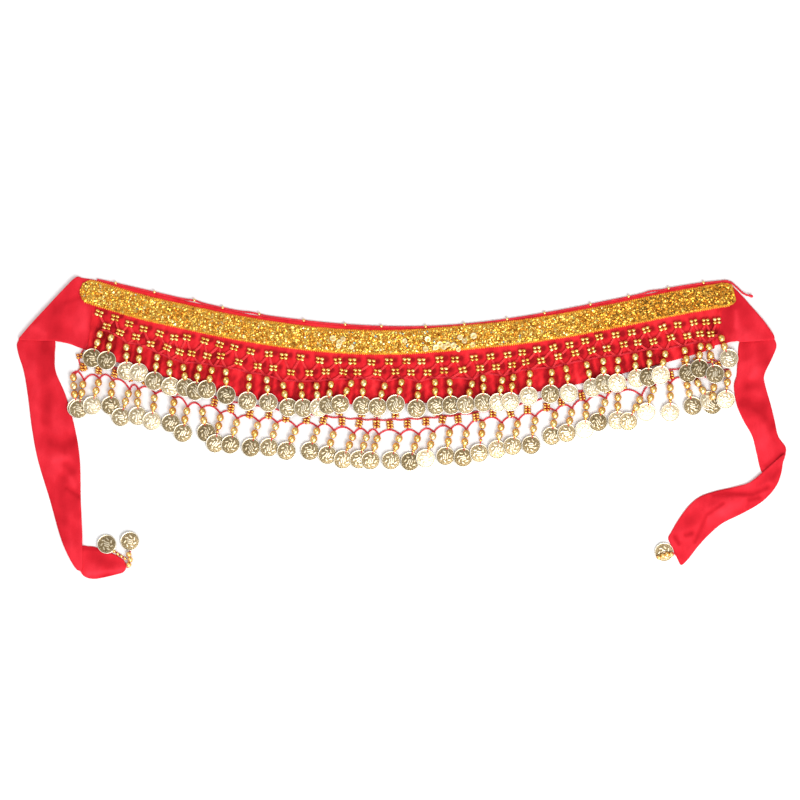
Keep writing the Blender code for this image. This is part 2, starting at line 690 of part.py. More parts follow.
def main():
    for obj in list(bpy.data.objects):
        bpy.data.objects.remove(obj, do_unlink=True)
    collection = bpy.data.collections.new(OBJECT_NAME)
    bpy.context.scene.collection.children.link(collection)
    velvet, crochet = make_material(*VELVET), make_material(*CROCHET)
    sequin, coin = make_material(*SEQUIN), make_material(*COIN)
    make_belt(velvet)
    make_trim(sequin)
    make_edging(crochet)
    make_bead_net(crochet)
    make_lower_net(crochet)
    make_fringe("upper_fringe", 0, COLUMNS, "strand_row", UPPER_CHAIN_DIP, UPPER_SQUARE_SHARE, coin)
    make_fringe("lower_fringe", -1, COLUMNS + 1, "lower_row", LOWER_CHAIN_DIP, LOWER_SQUARE_SHARE, coin)
    make_tie("left_tie_shoulder", LEFT_SHOULDER, velvet)
    make_tie("left_tie_drop", LEFT_DROP, velvet)
    make_tie("left_tie_end", LEFT_END, velvet)
    make_tie("right_tie_shoulder", RIGHT_SHOULDER, velvet)
    make_tie("right_tie_drop", RIGHT_DROP, velvet)
    make_tie("right_tie_end", RIGHT_END, velvet)
    make_tassel("left_tie_tassel", LEFT_TASSEL, coin)
    make_tassel("right_tie_tassel", RIGHT_TASSEL, coin)


main()
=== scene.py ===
"""Dresses a laid-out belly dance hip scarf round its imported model.

It makes the velvet belt and ties, the sequin trim, the crochet nets and cords, the beads and the coins.
Lengths are millimetres on the plan of the laid scarf, and become metres in the row frame when a mesh is
made. X runs along the belt, Y towards its top edge, Z up from the floor.
"""

import logging
import math
from collections.abc import Sequence
from dataclasses import dataclass, field
from enum import Enum
from typing import NamedTuple, Protocol

import bpy
import numpy as np
from numpy.random import default_rng
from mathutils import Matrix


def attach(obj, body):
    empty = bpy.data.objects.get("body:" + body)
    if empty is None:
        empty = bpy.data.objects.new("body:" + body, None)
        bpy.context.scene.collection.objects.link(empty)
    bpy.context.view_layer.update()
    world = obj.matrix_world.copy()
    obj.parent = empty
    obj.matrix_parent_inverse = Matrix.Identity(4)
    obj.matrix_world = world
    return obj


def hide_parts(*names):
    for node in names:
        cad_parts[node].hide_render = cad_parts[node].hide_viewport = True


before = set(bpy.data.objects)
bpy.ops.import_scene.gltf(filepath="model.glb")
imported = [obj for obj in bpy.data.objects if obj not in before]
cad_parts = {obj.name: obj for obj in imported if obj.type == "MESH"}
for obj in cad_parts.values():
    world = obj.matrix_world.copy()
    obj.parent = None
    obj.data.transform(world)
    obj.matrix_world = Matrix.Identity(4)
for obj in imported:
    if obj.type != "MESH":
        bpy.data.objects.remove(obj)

Array = np.ndarray
Values = np.ndarray | float
Colour = tuple[int, int, int]
Pair = tuple[float, float]
Pairs = tuple[Pair, ...]
Triple = tuple[float, float, float]
Socket = bpy.types.NodeSocket
Pieces = list[bpy.types.Object]

log = logging.getLogger("hip_scarf")

MM = 0.001
PLAN_MIDDLE = np.array([1.0, 0.1, 0.0])
UP = np.array([0.0, 0.0, 1.0])
FLOOR_GAP = 0.3
CLOTH_THICKNESS = 1.7
SHEET_GAP = 0.05
THREAD_RISE = 0.75
ROOT_TO_BEAD = 4.2
SEED_BEAD_HALF = 0.82
EDGE_STEPS = (0.0, 0.13, 0.42, 0.85, 1.4)
PHOTO_PIXEL = np.array([1.05, -1.05])
PHOTO_ZERO = np.array([400.0, 428.0])


class Slot(Enum):
    """The record's material slots."""

    VELVET = "velvet"
    CROCHET = "crochet"
    SEQUIN_TRIM = "sequin_trim"
    COINS_AND_BEADS = "coins_and_beads"


def linear(colour: Colour, alpha: float = 1.0) -> tuple[float, float, float, float]:
    """A colour from 0 to 255 as the screen shows it, turned into the light that the shader works in.

    Args:
        colour: Red, green and blue from 0 to 255.
        alpha: The fourth channel.

    Returns:
        The colour's linear red, green and blue, and alpha.
    """
    shares = np.array(colour, float) / 255
    light = np.where(shares <= 0.04045, shares / 12.92, ((shares + 0.055) / 1.055) ** 2.4)
    return (*light.tolist(), alpha)


def ease(share: Array) -> Array:
    """A share from 0 to 1 that starts and ends gently: 3 t^2 - 2 t^3."""
    share = np.clip(share, 0.0, 1.0)
    return share * share * (3 - 2 * share)


def unit(vectors: Array) -> Array:
    """Vectors made one long."""
    return vectors / np.linalg.norm(vectors, axis=-1, keepdims=True)


def flat_point(places: Array, height: Values) -> Array:
    """Places on the plan with a height, as points.

    Args:
        places: X and Y, shaped (..., 2).
        height: Z for each place, or one for all.

    Returns:
        The points, shaped (..., 3).
    """
    height = np.broadcast_to(height, places.shape[:-1])
    return np.concatenate([places, height[..., None]], -1)


def from_photo(pixels: Array | Sequence[Sequence[float]]) -> Array:
    """Places on the plan of pixels of the photo, which looks straight down at 1.05 mm a pixel."""
    return (np.array(pixels, float) - PHOTO_ZERO) * PHOTO_PIXEL


def strand_places(strands: Sequence[Sequence[float]]) -> tuple[Array, Array, Array]:
    """Where strands hang, from where their first beads and their coins show in the photo.

    Args:
        strands: Each strand's first bead and the middle of its coin, in pixels.

    Returns:
        The roots, the coins' middles, and the directions from root to coin.
    """
    table = np.array(strands, float)
    first, coins = from_photo(table[:, :2]), from_photo(table[:, 2:])
    ahead = unit(coins - first)
    return first - ahead * ROOT_TO_BEAD, coins, ahead


def edge_spaced(length: float, step: float, edge: Sequence[float] = EDGE_STEPS) -> Array:
    """Distances from 0 to a length, close together near both ends, where cloth turns over.

    Args:
        length: The whole length.
        step: About how far apart the middle ones are.
        edge: The distances near an end.

    Returns:
        The distances in rising order.
    """
    near = np.array(edge)
    count = max(3, int(round((length - 2 * near[-1]) / step)))
    middle = np.linspace(near[-1], length - near[-1], count + 1)[1:-1]
    return np.concatenate([near, middle, (length - near)[::-1]])


def turned_edge(distance: Array, radius: float) -> Array:
    """How full cloth is near its edge, from 0 at the edge to 1 a radius in: a quarter of a circle."""
    inside = np.clip(1 - distance / radius, 0.0, 1.0)
    return np.sqrt(1 - inside**2)


@dataclass
class Patch:
    """Points and faces of one or more closed surfaces, and the tone that their finish reads at each point."""

    points: Array
    faces: list[Array]
    tone: Array

    def repeated(self, places: Array, turns: Array, sizes: Values = 1.0, tones: Values = 0.5) -> "Patch":
        """The patch set down many times: place + turn (size point), with its tone shifted by the copy's own.

        Args:
            places: Where each copy's own middle goes, shaped (copies, 3).
            turns: The copies' own axes as columns, shaped (copies, 3, 3).
            sizes: One number, or one for each copy and axis, shaped (copies, 3).
            tones: Each copy's tone, where 0.5 leaves the patch's own as it is.

        Returns:
            All the copies as one patch.
        """
        copies, count = len(places), len(self.points)
        sized = self.points[None] * np.broadcast_to(sizes, (copies, 3))[:, None]
        points = np.einsum("nij,nvj->nvi", turns, sized) + places[:, None]
        offsets = np.arange(copies)[:, None, None] * count
        faces = [(part[None] + offsets).reshape(-1, part.shape[1]) for part in self.faces]
        tone = self.tone[None] + np.broadcast_to(tones, copies)[:, None] - 0.5
        return Patch(points.reshape(-1, 3), faces, tone.ravel())


def ring_faces(rings: int, sides: int) -> list[Array]:
    """Faces of a closed surface through rings of points, with a flat face over each end.

    Args:
        rings: How many rings there are.
        sides: How many points a ring has.

    Returns:
        The faces between rings, then the first and last ring's own.
    """
    ring, side = np.meshgrid(np.arange(rings - 1), np.arange(sides), indexing="ij")
    after = (side + 1) % sides
    quads = np.stack(
        [ring * sides + side, ring * sides + after, (ring + 1) * sides + after, (ring + 1) * sides + side], -1
    )
    first = np.arange(sides)[None, ::-1]
    last = (rings - 1) * sides + np.arange(sides)[None]
    return [quads.reshape(-1, 4), first, last]


def turned(axial: Sequence[float], radii: Sequence[float], sides: int, tone: float = 0.5) -> Patch:
    """A turned shape round its own X axis: (a, r cos t, r sin t) for each step of its profile.

    Args:
        axial: Distances along the axis, in rising order.
        radii: The radius at each.
        sides: How many points a ring has.
        tone: The tone of the whole shape.

    Returns:
        The closed shape.
    """
    angle = np.arange(sides) * 2 * math.pi / sides
    along, radius = np.array(axial)[:, None], np.array(radii)[:, None]
    rings = np.stack(
        np.broadcast_arrays(along, radius * np.cos(angle)[None], radius * np.sin(angle)[None]), -1
    )
    points = rings.reshape(-1, 3)
    return Patch(points, ring_faces(len(axial), sides), np.full(len(points), tone))


def tubes(paths: Array, radius: Values, sides: int, side: Array | None = None, tone: float = 0.5) -> Patch:
    """Round threads along paths: each ring is middle + radius (side cos a + rise sin a), square to its path.

    Args:
        paths: The middles, shaped (threads, points, 3).
        radius: One radius, or one for each middle.
        sides: How many points a ring has.
        side: A level direction for each thread that stands up, shaped (threads, 3).
        tone: The tone of all the threads.

    Returns:
        The threads, with a flat face over each end.
    """
    ahead = unit(np.gradient(paths, axis=1))
    across = unit(np.cross(UP, ahead)) if side is None else np.broadcast_to(side[:, None], paths.shape)
    rise = np.cross(ahead, across)
    angle = np.arange(sides) * 2 * math.pi / sides
    reach = np.broadcast_to(radius, paths.shape[:2])[..., None, None]
    ring = across[..., None, :] * np.cos(angle)[:, None] + rise[..., None, :] * np.sin(angle)[:, None]
    points = (paths[..., None, :] + reach * ring).reshape(len(paths), -1, 3)
    offsets = np.arange(len(paths))[:, None, None] * points.shape[1]
    one = ring_faces(paths.shape[1], sides)
    faces = [(part[None] + offsets).reshape(-1, part.shape[1]) for part in one]
    points = points.reshape(-1, 3)
    return Patch(points, faces, np.full(len(points), tone))


def even_path(path: Array, step: float) -> Array:
    """A path with a point every step of its length.

    Args:
        path: The corners, shaped (points, 3).
        step: About how far apart the new points are.

    Returns:
        The new path, shaped (points, 3).
    """
    gaps = np.linalg.norm(np.diff(path, axis=0), axis=1)
    reach = np.concatenate([[0.0], np.cumsum(gaps)])
    wanted = np.linspace(0, reach[-1], max(2, int(round(reach[-1] / step)) + 1))
    return np.stack([np.interp(wanted, reach, path[:, axis]) for axis in range(3)], -1)


def chain_stitch(paths: Array, stitch: float = 2.4, ply: float = 0.40, spread: float = 0.42) -> Patch:
    """Crochet chain along paths: two plies that part and meet once a stitch.

    Each ply lies off the path by 0.16 + spread |sin(pi s / stitch)| at a distance s, and rises and falls by
    0.18 cos(pi s / stitch).

    Args:
        paths: The middles, evenly spaced along each thread, shaped (threads, points, 3).
        stitch: The length of one stitch.
        ply: The radius of one ply.
        spread: How far the plies part.

    Returns:
        Both plies of all the threads.
    """
    gaps = np.linalg.norm(np.diff(paths, axis=1), axis=2)
    reach = np.concatenate([np.zeros((len(paths), 1)), np.cumsum(gaps, axis=1)], axis=1)
    phase = math.pi * reach / stitch
    ahead = unit(np.gradient(paths, axis=1))
    across = unit(np.cross(UP, ahead))
    out = (0.16 + spread * np.abs(np.sin(phase)))[..., None] * across
    rise = 0.18 * np.cos(phase)[..., None] * UP
    return tubes(np.concatenate([paths + out + rise, paths - out - rise]), ply, 6)


def axes_of(ahead: Array, roll: Values = 0.0, nod: Values = 0.0) -> Array:
    """Axes for things that hang along a direction on the plan: ahead, level side and normal, as columns.

    Args:
        ahead: The direction on the plan, shaped (copies, 2).
        roll: How much the left side stands higher than the right, as a slope.
        nod: How much the near end stands higher than the far one, as a slope.

    Returns:
        The axes, shaped (copies, 3, 3).
    """
    level = np.stack([-ahead[:, 1], ahead[:, 0]], -1)
    first = unit(flat_point(ahead, -np.broadcast_to(nod, len(ahead))))
    second = flat_point(level, -np.broadcast_to(roll, len(ahead)))
    normal = unit(np.cross(first, second))
    return np.stack([first, np.cross(normal, first), normal], -1)


def tilted_axes(turn: Array, tilt: Array, towards: Array) -> Array:
    """Axes of small flat things: turned about the upright, then tilted by an angle towards a bearing.

    Args:
        turn: The turn about the upright, in radians.
        tilt: The angle from level, in radians.
        towards: The bearing that the face tilts to, in radians.

    Returns:
        The axes as columns, shaped (copies, 3, 3).
    """
    normal = np.stack([np.sin(tilt) * np.cos(towards), np.sin(tilt) * np.sin(towards), np.cos(tilt)], -1)
    level = np.stack([np.cos(turn), np.sin(turn), np.zeros_like(turn)], -1)
    second = unit(np.cross(normal, level))
    return np.stack([np.cross(second, normal), second, normal], -1)


def closed_sheet(over: Array, under: Array, tone: Array) -> Patch:
    """A sheet of cloth from its upper and lower grids, which share their outermost points.

    Args:
        over: The upper points, shaped (rows, columns, 3), with rows x columns turning left to right.
        under: The lower points, shaped the same.
        tone: The tone of each upper point.

    Returns:
        The closed sheet.
    """
    rows, columns = over.shape[:2]
    top = np.arange(rows * columns).reshape(rows, columns)
    bottom = top + rows * columns
    rim = np.ones_like(top, bool)
    rim[1:-1, 1:-1] = False
    bottom[rim] = top[rim]
    corner = [(slice(None, -1), slice(None, -1)), (slice(1, None), slice(None, -1))]
    corner += [(slice(1, None), slice(1, None)), (slice(None, -1), slice(1, None))]
    upper = np.stack([top[at] for at in corner], -1).reshape(-1, 4)
    lower = np.stack([bottom[at] for at in corner[::-1]], -1).reshape(-1, 4)
    a, b, c = (over.reshape(-1, 3)[upper[len(upper) // 2, i]] for i in (0, 1, 2))
    if np.cross(b - a, c - b)[2] < 0:
        upper, lower = upper[:, ::-1], lower[:, ::-1]
    faces = np.concatenate([upper, lower])
    used, faces = np.unique(faces, return_inverse=True)
    points = np.concatenate([over.reshape(-1, 3), under.reshape(-1, 3)])[used]
    tones = np.concatenate([tone.ravel(), tone.ravel()])[used]
    return Patch(points, [faces.reshape(-1, 4)], tones)


def make_piece(
    name: str,
    patches: Sequence[Patch],
    finish: "Finish",
    nodes: Sequence[str],
    smooth: bool = True,
) -> bpy.types.Object:
    """One object of the scarf from its patches, dressed, riding on the root and standing for its CAD nodes.

    Args:
        name: The object's name.
        patches: What it is made of.
        finish: Its finish.
        nodes: The CAD nodes that it stands for.
        smooth: Whether its faces are shaded smooth.

    Returns:
        The object.
    """
    points = (np.concatenate([patch.points for patch in patches]) - PLAN_MIDDLE) * MM
    tone = np.clip(np.concatenate([patch.tone for patch in patches]), 0, 1)
    starts = np.cumsum([0] + [len(patch.points) for patch in patches])
    parts = [part + start for patch, start in zip(patches, starts) for part in patch.faces]
    corners = np.concatenate([part.ravel() for part in parts])
    totals = np.concatenate([np.full(len(part), part.shape[1]) for part in parts])
    mesh = bpy.data.meshes.new(name)
    mesh.vertices.add(len(points))
    mesh.vertices.foreach_set("co", points.astype(np.float32).ravel())
    mesh.loops.add(len(corners))
    mesh.loops.foreach_set("vertex_index", corners.astype(np.int32))
    mesh.polygons.add(len(totals))
    mesh.polygons.foreach_set("loop_start", (np.cumsum(totals) - totals).astype(np.int32))
    mesh.polygons.foreach_set("loop_total", totals.astype(np.int32))
    mesh.polygons.foreach_set("use_smooth", np.full(len(totals), smooth))
    mesh.update(calc_edges=True)
    mesh.attributes.new("tone", "FLOAT", "POINT").data.foreach_set("value", tone.astype(np.float32))
    mesh.materials.append(finish.material())
    obj = bpy.data.objects.new(name, mesh)
    bpy.context.scene.collection.objects.link(obj)
    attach(obj, "root")
    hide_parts(*nodes)
    return obj


class NodeSheet:
    """A material's nodes, with short ways to add what the finishes share."""

    def __init__(self, name: str) -> None:
        """Starts a material with its one shader.

        Args:
            name: The material's name.
        """
        self.material = bpy.data.materials.new(name)
        self.material.use_nodes = True
        self.nodes = self.material.node_tree.nodes
        self.shader = self.nodes["Principled BSDF"]

    def set(self, values: dict[str, object]) -> None:
        """Sets the shader's own sockets by their names."""
        for socket, value in values.items():
            self.shader.inputs[socket].default_value = value

    def join(self, source: Socket, target: Socket) -> None:
        """Links two sockets."""
        self.material.node_tree.links.new(source, target)

    def noise(self, size: float, detail: float = 3.0, stretch: Sequence[float] = (1.0, 1.0, 1.0)) -> Socket:
        """Soft noise in Object coordinates.

        Args:
            size: The size of its patches in millimetres.
            detail: How many finer layers it has.
            stretch: How much it is squeezed along each axis.

        Returns:
            The noise, about 0.5.
        """
        place = self.nodes.new("ShaderNodeTexCoord").outputs["Object"]
        mapping = self.nodes.new("ShaderNodeMapping")
        mapping.inputs["Scale"].default_value = tuple(stretch)
        made = self.nodes.new("ShaderNodeTexNoise")
        made.inputs["Scale"].default_value = 1 / (size * MM)
        made.inputs["Detail"].default_value = detail
        self.join(place, mapping.inputs["Vector"])
        self.join(mapping.outputs["Vector"], made.inputs["Vector"])
        return made.outputs["Fac"]

    def tone(self) -> Socket:
        """The piece's own tone at each point.

        Returns:
            The tone, from 0 to 1.
        """
        made = self.nodes.new("ShaderNodeAttribute")
        made.attribute_name = "tone"
        return made.outputs["Fac"]

    def blend(self, parts: Sequence[tuple[Socket, float]]) -> Socket:
        """Values added together, each about 0.5 and with its own weight: 0.5 + sum of w (v - 0.5).

        Args:
            parts: The values and their weights.

        Returns:
            The sum, about 0.5.
        """
        total = None
        for value, weight in parts:
            step = self.nodes.new("ShaderNodeMath")
            step.operation = "MULTIPLY_ADD"
            self.join(value, step.inputs[0])
            step.inputs[1].default_value = weight
            step.inputs[2].default_value = 0.5 - 0.5 * weight
            if total is not None:
                joint = self.nodes.new("ShaderNodeMath")
                joint.operation = "ADD"
                self.join(total, joint.inputs[0])
                step.inputs[2].default_value = -0.5 * weight
                self.join(step.outputs[0], joint.inputs[1])
                step = joint
            total = step.outputs[0]
        return total

    def colour(self, value: Socket, stops: Sequence[tuple[float, Colour]]) -> None:
        """Colours the shader along a value.

        Args:
            value: What the colour follows.
            stops: Values and their colours, in rising order.
        """
        made = self.nodes.new("ShaderNodeValToRGB")
        elements = made.color_ramp.elements
        while len(elements) < len(stops):
            elements.new(1.0)
        for element, (at, colour) in zip(elements, stops):
            element.position = at
            element.color = linear(colour)
        self.join(value, made.inputs["Fac"])
        self.join(made.outputs["Color"], self.shader.inputs["Base Color"])

    def bump(self, height: Socket, strength: float, depth: float) -> None:
        """Fine relief on the shader.

        Args:
            height: The relief.
            strength: How strong it is.
            depth: Its height in millimetres.
        """
        made = self.nodes.new("ShaderNodeBump")
        made.inputs["Strength"].default_value = strength
        made.inputs["Distance"].default_value = depth * MM
        self.join(height, made.inputs["Height"])
        self.join(made.outputs["Normal"], self.shader.inputs["Normal"])


@dataclass(frozen=True)
class Finish:
    """A finish, whose material is made once, and its slot. Each kind adds its own nodes in dress."""

    name: str
    slot: Slot | None

    def material(self) -> bpy.types.Material:
        """The finish's material, made at its first use.

        Returns:
            The material.
        """
        found = bpy.data.materials.get(self.name)
        if found is not None:
            return found
        sheet = NodeSheet(self.name)
        self.dress(sheet)
        return sheet.material

    def dress(self, sheet: NodeSheet) -> None:
        """Adds the finish's own nodes.

        Args:
            sheet: The material's nodes.
        """
        raise NotImplementedError


@dataclass(frozen=True)
class Velvet(Finish):
    """Crushed velvet: soft pile, darker in pressed patches, where it is turned away and where its tone
    carries painted shade, with a broad sheen.
    """

    deep: Colour = (148, 8, 24)
    body: Colour = (208, 26, 42)
    light: Colour = (242, 52, 68)
    sheen: float = 0.25
    pressed: float = 0.6
    streaked: float = 0.42

    def dress(self, sheet: NodeSheet) -> None:
        """Pile in broad patches and fine streaks, and a nap too fine to count.

        Args:
            sheet: The material's nodes.
        """
        pressed = sheet.noise(34.0, 2.0, (1.0, 0.55, 1.0))
        streaks = sheet.noise(5.5, 4.0, (1.0, 0.45, 1.0))
        nap = sheet.noise(0.9, 2.0)
        # The tone carries each piece's painted shade and painted highlight, on top of the pile's random
        # patches.
        parts = [(sheet.tone(), 1.0), (pressed, self.pressed), (streaks, self.streaked), (nap, 0.2)]
        stops = [(0.12, self.deep), (0.46, self.body), (0.86, self.light)]
        sheet.colour(sheet.blend(parts), stops)
        sheet.set({"Roughness": 0.82, "Sheen Weight": self.sheen, "Sheen Roughness": 0.42})
        sheet.set({"Sheen Tint": linear((255, 120, 130)), "Specular IOR Level": 0.18})
        sheet.bump(sheet.blend([(nap, 0.7), (streaks, 0.8)]), 0.5, 0.5)


@dataclass(frozen=True)
class Thread(Finish):
    """Twisted thread, a little fuzzy."""

    dark: Colour = (192, 14, 34)
    light: Colour = (240, 42, 62)
    roughness: float = 0.7
    sheen: Colour = (255, 96, 104)

    def dress(self, sheet: NodeSheet) -> None:
        """Fibres that run over the thread, and its uneven dye.

        Args:
            sheet: The material's nodes.
        """
        dye = sheet.noise(7.0, 2.0)
        fibres = sheet.noise(0.35, 3.0)
        stops = [(0.25, self.dark), (0.75, self.light)]
        value = sheet.blend([(dye, 0.9), (fibres, 0.8), (sheet.tone(), 0.8)])
        sheet.colour(value, stops)
        sheet.set({"Roughness": self.roughness, "Sheen Weight": 0.2, "Sheen Tint": linear(self.sheen)})
        sheet.bump(fibres, 0.6, 0.15)


@dataclass(frozen=True)
class Plated(Finish):
    """Plated metal whose colour follows its tone, worn and clouded a little."""

    stops: tuple[tuple[float, Colour], ...]
    roughness: float = 0.22
    wear: float = 0.3
    grain: float = 0.6
    depth: float = 0.05

    def dress(self, sheet: NodeSheet) -> None:
        """Cloudy plating and a fine grain of scratches.

        Args:
            sheet: The material's nodes.
        """
        cloud = sheet.noise(3.5, 3.0)
        scratches = sheet.noise(self.grain, 3.0, (1.0, 0.3, 1.0))
        value = sheet.blend([(sheet.tone(), 1.0), (cloud, self.wear)])
        sheet.colour(value, self.stops)
        rough = sheet.nodes.new("ShaderNodeMapRange")
        rough.inputs["To Min"].default_value = self.roughness * 0.6
        rough.inputs["To Max"].default_value = self.roughness * 1.5
        sheet.join(cloud, rough.inputs["Value"])
        sheet.join(rough.outputs["Result"], sheet.shader.inputs["Roughness"])
        sheet.set({"Metallic": 1.0})
        sheet.bump(scratches, 0.35, self.depth)


@dataclass(frozen=True)
class Ribbon(Finish):
    """Woven metallic ribbon under the sequins."""

    dark: Colour = (150, 96, 18)
    light: Colour = (246, 178, 40)

    def dress(self, sheet: NodeSheet) -> None:
        """A fine weave with glints of metal thread.

        Args:
            sheet: The material's nodes.
        """
        weave = sheet.noise(0.8, 3.0, (1.0, 2.0, 1.0))
        cloud = sheet.noise(6.0, 2.0)
        value = sheet.blend([(weave, 1.4), (cloud, 0.8)])
        stops = [(0.2, self.dark), (0.8, self.light)]
        sheet.colour(value, stops)
        sheet.set({"Roughness": 0.42, "Metallic": 0.55})
        sheet.bump(weave, 0.8, 0.4)


@dataclass(frozen=True)
class Paper(Finish):
    """The plain floor that the scarf is laid on."""

    colour: Colour = (247, 247, 247)

    def dress(self, sheet: NodeSheet) -> None:
        """A matt white with the least grain.

        Args:
            sheet: The material's nodes.
        """
        grain = sheet.noise(2.0, 2.0)
        sheet.set({"Base Color": linear(self.colour), "Roughness": 0.95, "Specular IOR Level": 0.0})
        sheet.bump(grain, 0.05, 0.05)


VELVET = Velvet("red_velvet", Slot.VELVET, deep=(158, 8, 20), body=(220, 29, 40), light=(250, 57, 64))
TIE_VELVET = Velvet("smoother_red_velvet", Slot.VELVET, deep=(182, 10, 28), pressed=0.34, streaked=0.22)
CROCHET = Thread("red_crochet_thread", Slot.CROCHET)
# The same crochet thread painted lighter where it lies over the gathers, as a painted highlight on the net's
# ridges.
NET_THREAD = Thread(
    "net_thread_painted_lighter", Slot.CROCHET, dark=(216, 24, 36), light=(252, 62, 68), sheen=(255, 84, 84)
)
STITCHES = Thread(
    "orange_silk_stitches",
    Slot.SEQUIN_TRIM,
    dark=(214, 112, 8),
    light=(255, 190, 40),
    roughness=0.45,
    sheen=(255, 200, 90),
)
RIBBON = Ribbon("gold_ribbon_weave", Slot.SEQUIN_TRIM)
BEAD_GOLD = Plated(
    "bright_gold_beads",
    Slot.COINS_AND_BEADS,
    ((0.15, (208, 124, 52)), (0.42, (242, 180, 86)), (0.7, (254, 218, 140)), (0.95, (255, 238, 190))),
    roughness=0.27,
    depth=0.03,
)
COIN_GOLD = Plated(
    "pale_gold_coins",
    Slot.COINS_AND_BEADS,
    ((0.05, (108, 90, 60)), (0.3, (158, 138, 102)), (0.7, (232, 216, 184)), (1.0, (255, 246, 226))),
    roughness=0.36,
    grain=2.5,
    depth=0.015,
)
GLITTER = Plated(
    "gold_glitter_sequins",
    Slot.SEQUIN_TRIM,
    (
        (0.0, (140, 104, 44)),
        (0.22, (228, 138, 40)),
        (0.48, (240, 182, 74)),
        (0.76, (252, 218, 112)),
        (0.93, (255, 240, 190)),
        (0.97, (170, 214, 130)),
        (1.0, (160, 196, 200)),
    ),
    roughness=0.26,
    wear=0.1,
)
FOIL = Plated(
    "pale_foil_sequins",
    Slot.SEQUIN_TRIM,
    ((0.0, (240, 190, 110)), (0.5, (254, 226, 158)), (1.0, (255, 242, 200))),
    roughness=0.42,
)
FLOOR_PAPER = Paper("white_floor", None)


# Places read from the photo, in its pixels: each strand's first bead and the middle of its coin.
UPPER_STRANDS = (
    (100.5, 334.5, 92.5, 358), (111.5, 338, 107, 360.5), (127.5, 347.5, 127, 371), (140.5, 350, 139, 372.5),
    (157.5, 357.5, 154.5, 381), (170.5, 363.5, 171, 386.5), (184, 367.5, 186, 387.5),
    (200, 368, 195.5, 391), (212.5, 370.5, 207, 389.5), (226.5, 372, 226.5, 395),
    (249.5, 377.5, 247.5, 401), (267, 380, 268.5, 402.5), (283.5, 385.5, 288.5, 407.5),
    (301, 386, 303.5, 408), (317, 386, 319, 407.5), (331, 384.5, 328, 405), (351, 383.5, 340, 404),
    (363.5, 383, 362, 405.5), (384.5, 386, 377.5, 407), (401.5, 382.5, 395.5, 404),
    (418.5, 386.5, 416.5, 408.5), (435, 382.5, 436, 405.5), (449.5, 382.5, 451, 405),
    (471.5, 384, 465.5, 404.5), (483, 378.5, 483, 402.5), (502, 380.5, 498, 402.5),
    (513, 377.5, 510, 401.5), (529.5, 374, 528.5, 396), (551.5, 372.5, 550, 394), (566, 369, 568.5, 393),
    (586, 365, 592, 387.5), (602.5, 361.5, 603.5, 383), (617.5, 360.5, 616.5, 383),
    (634.5, 357, 636.5, 378.5), (648.5, 354, 648, 377), (664.5, 354, 660, 375), (684, 350.5, 687.5, 373),
    (699.5, 346.5, 699, 368.5), (708, 347, 714.5, 374), (720.5, 338.5, 728.5, 358.5),
)
LOWER_STRANDS = (
    (73.5, 377.5, 77, 408), (83.5, 384.5, 79, 409), (98.5, 382.5, 92.5, 405.5), (112.5, 384.5, 111, 405.5),
    (128.5, 393.5, 121, 417), (138.5, 393.5, 138, 416), (155, 398, 152, 421), (174, 402.5, 171, 423),
    (187, 411, 183, 433), (202.5, 412, 206.5, 432.5), (220, 417.5, 215.5, 443.5),
    (236.5, 422.5, 230.5, 444.5), (258, 425.5, 251, 447.5), (276, 426.5, 269, 447.5),
    (295, 431, 286.5, 451), (316.5, 431, 310, 451), (333, 434.5, 327.5, 455), (352.5, 437, 343, 459.5),
    (366.5, 437.5, 359, 459.5), (377.5, 438.5, 370.5, 460.5), (399, 438.5, 391, 460.5),
    (417.5, 438.5, 410, 461.5), (432.5, 436, 425.5, 458.5), (450, 433, 445.5, 456),
    (466, 433.5, 463, 457.5), (482.5, 425, 479, 453), (501, 427, 497, 449.5), (517.5, 424, 512.5, 446),
    (534.5, 420.5, 531, 445), (555, 415, 551.5, 436), (571, 412.5, 566.5, 433), (586, 406, 584.5, 429.5),
    (604.5, 402.5, 598, 422), (617.5, 397.5, 617, 420.5), (639.5, 399.5, 628, 421.5),
    (653, 389.5, 646, 412), (670, 387.5, 670, 412.5), (687, 385, 692.5, 406), (697.5, 383, 709, 400.5),
    (713.5, 387.5, 712, 405), (727.5, 374, 725.5, 399.5),
)
# The coins that catch the key light, tipped to it and painted lighter, and those turned from it and painted
# darker, counted from the left.
UPPER_BRIGHT = (2, 3, 5, 14, 25, 26, 27, 29, 30, 32, 33, 35, 39)
LOWER_BRIGHT = (2, 5, 6, 22, 31, 33, 35, 36, 38, 40)
UPPER_DULL = (0, 1, 9, 16, 36, 37, 38)
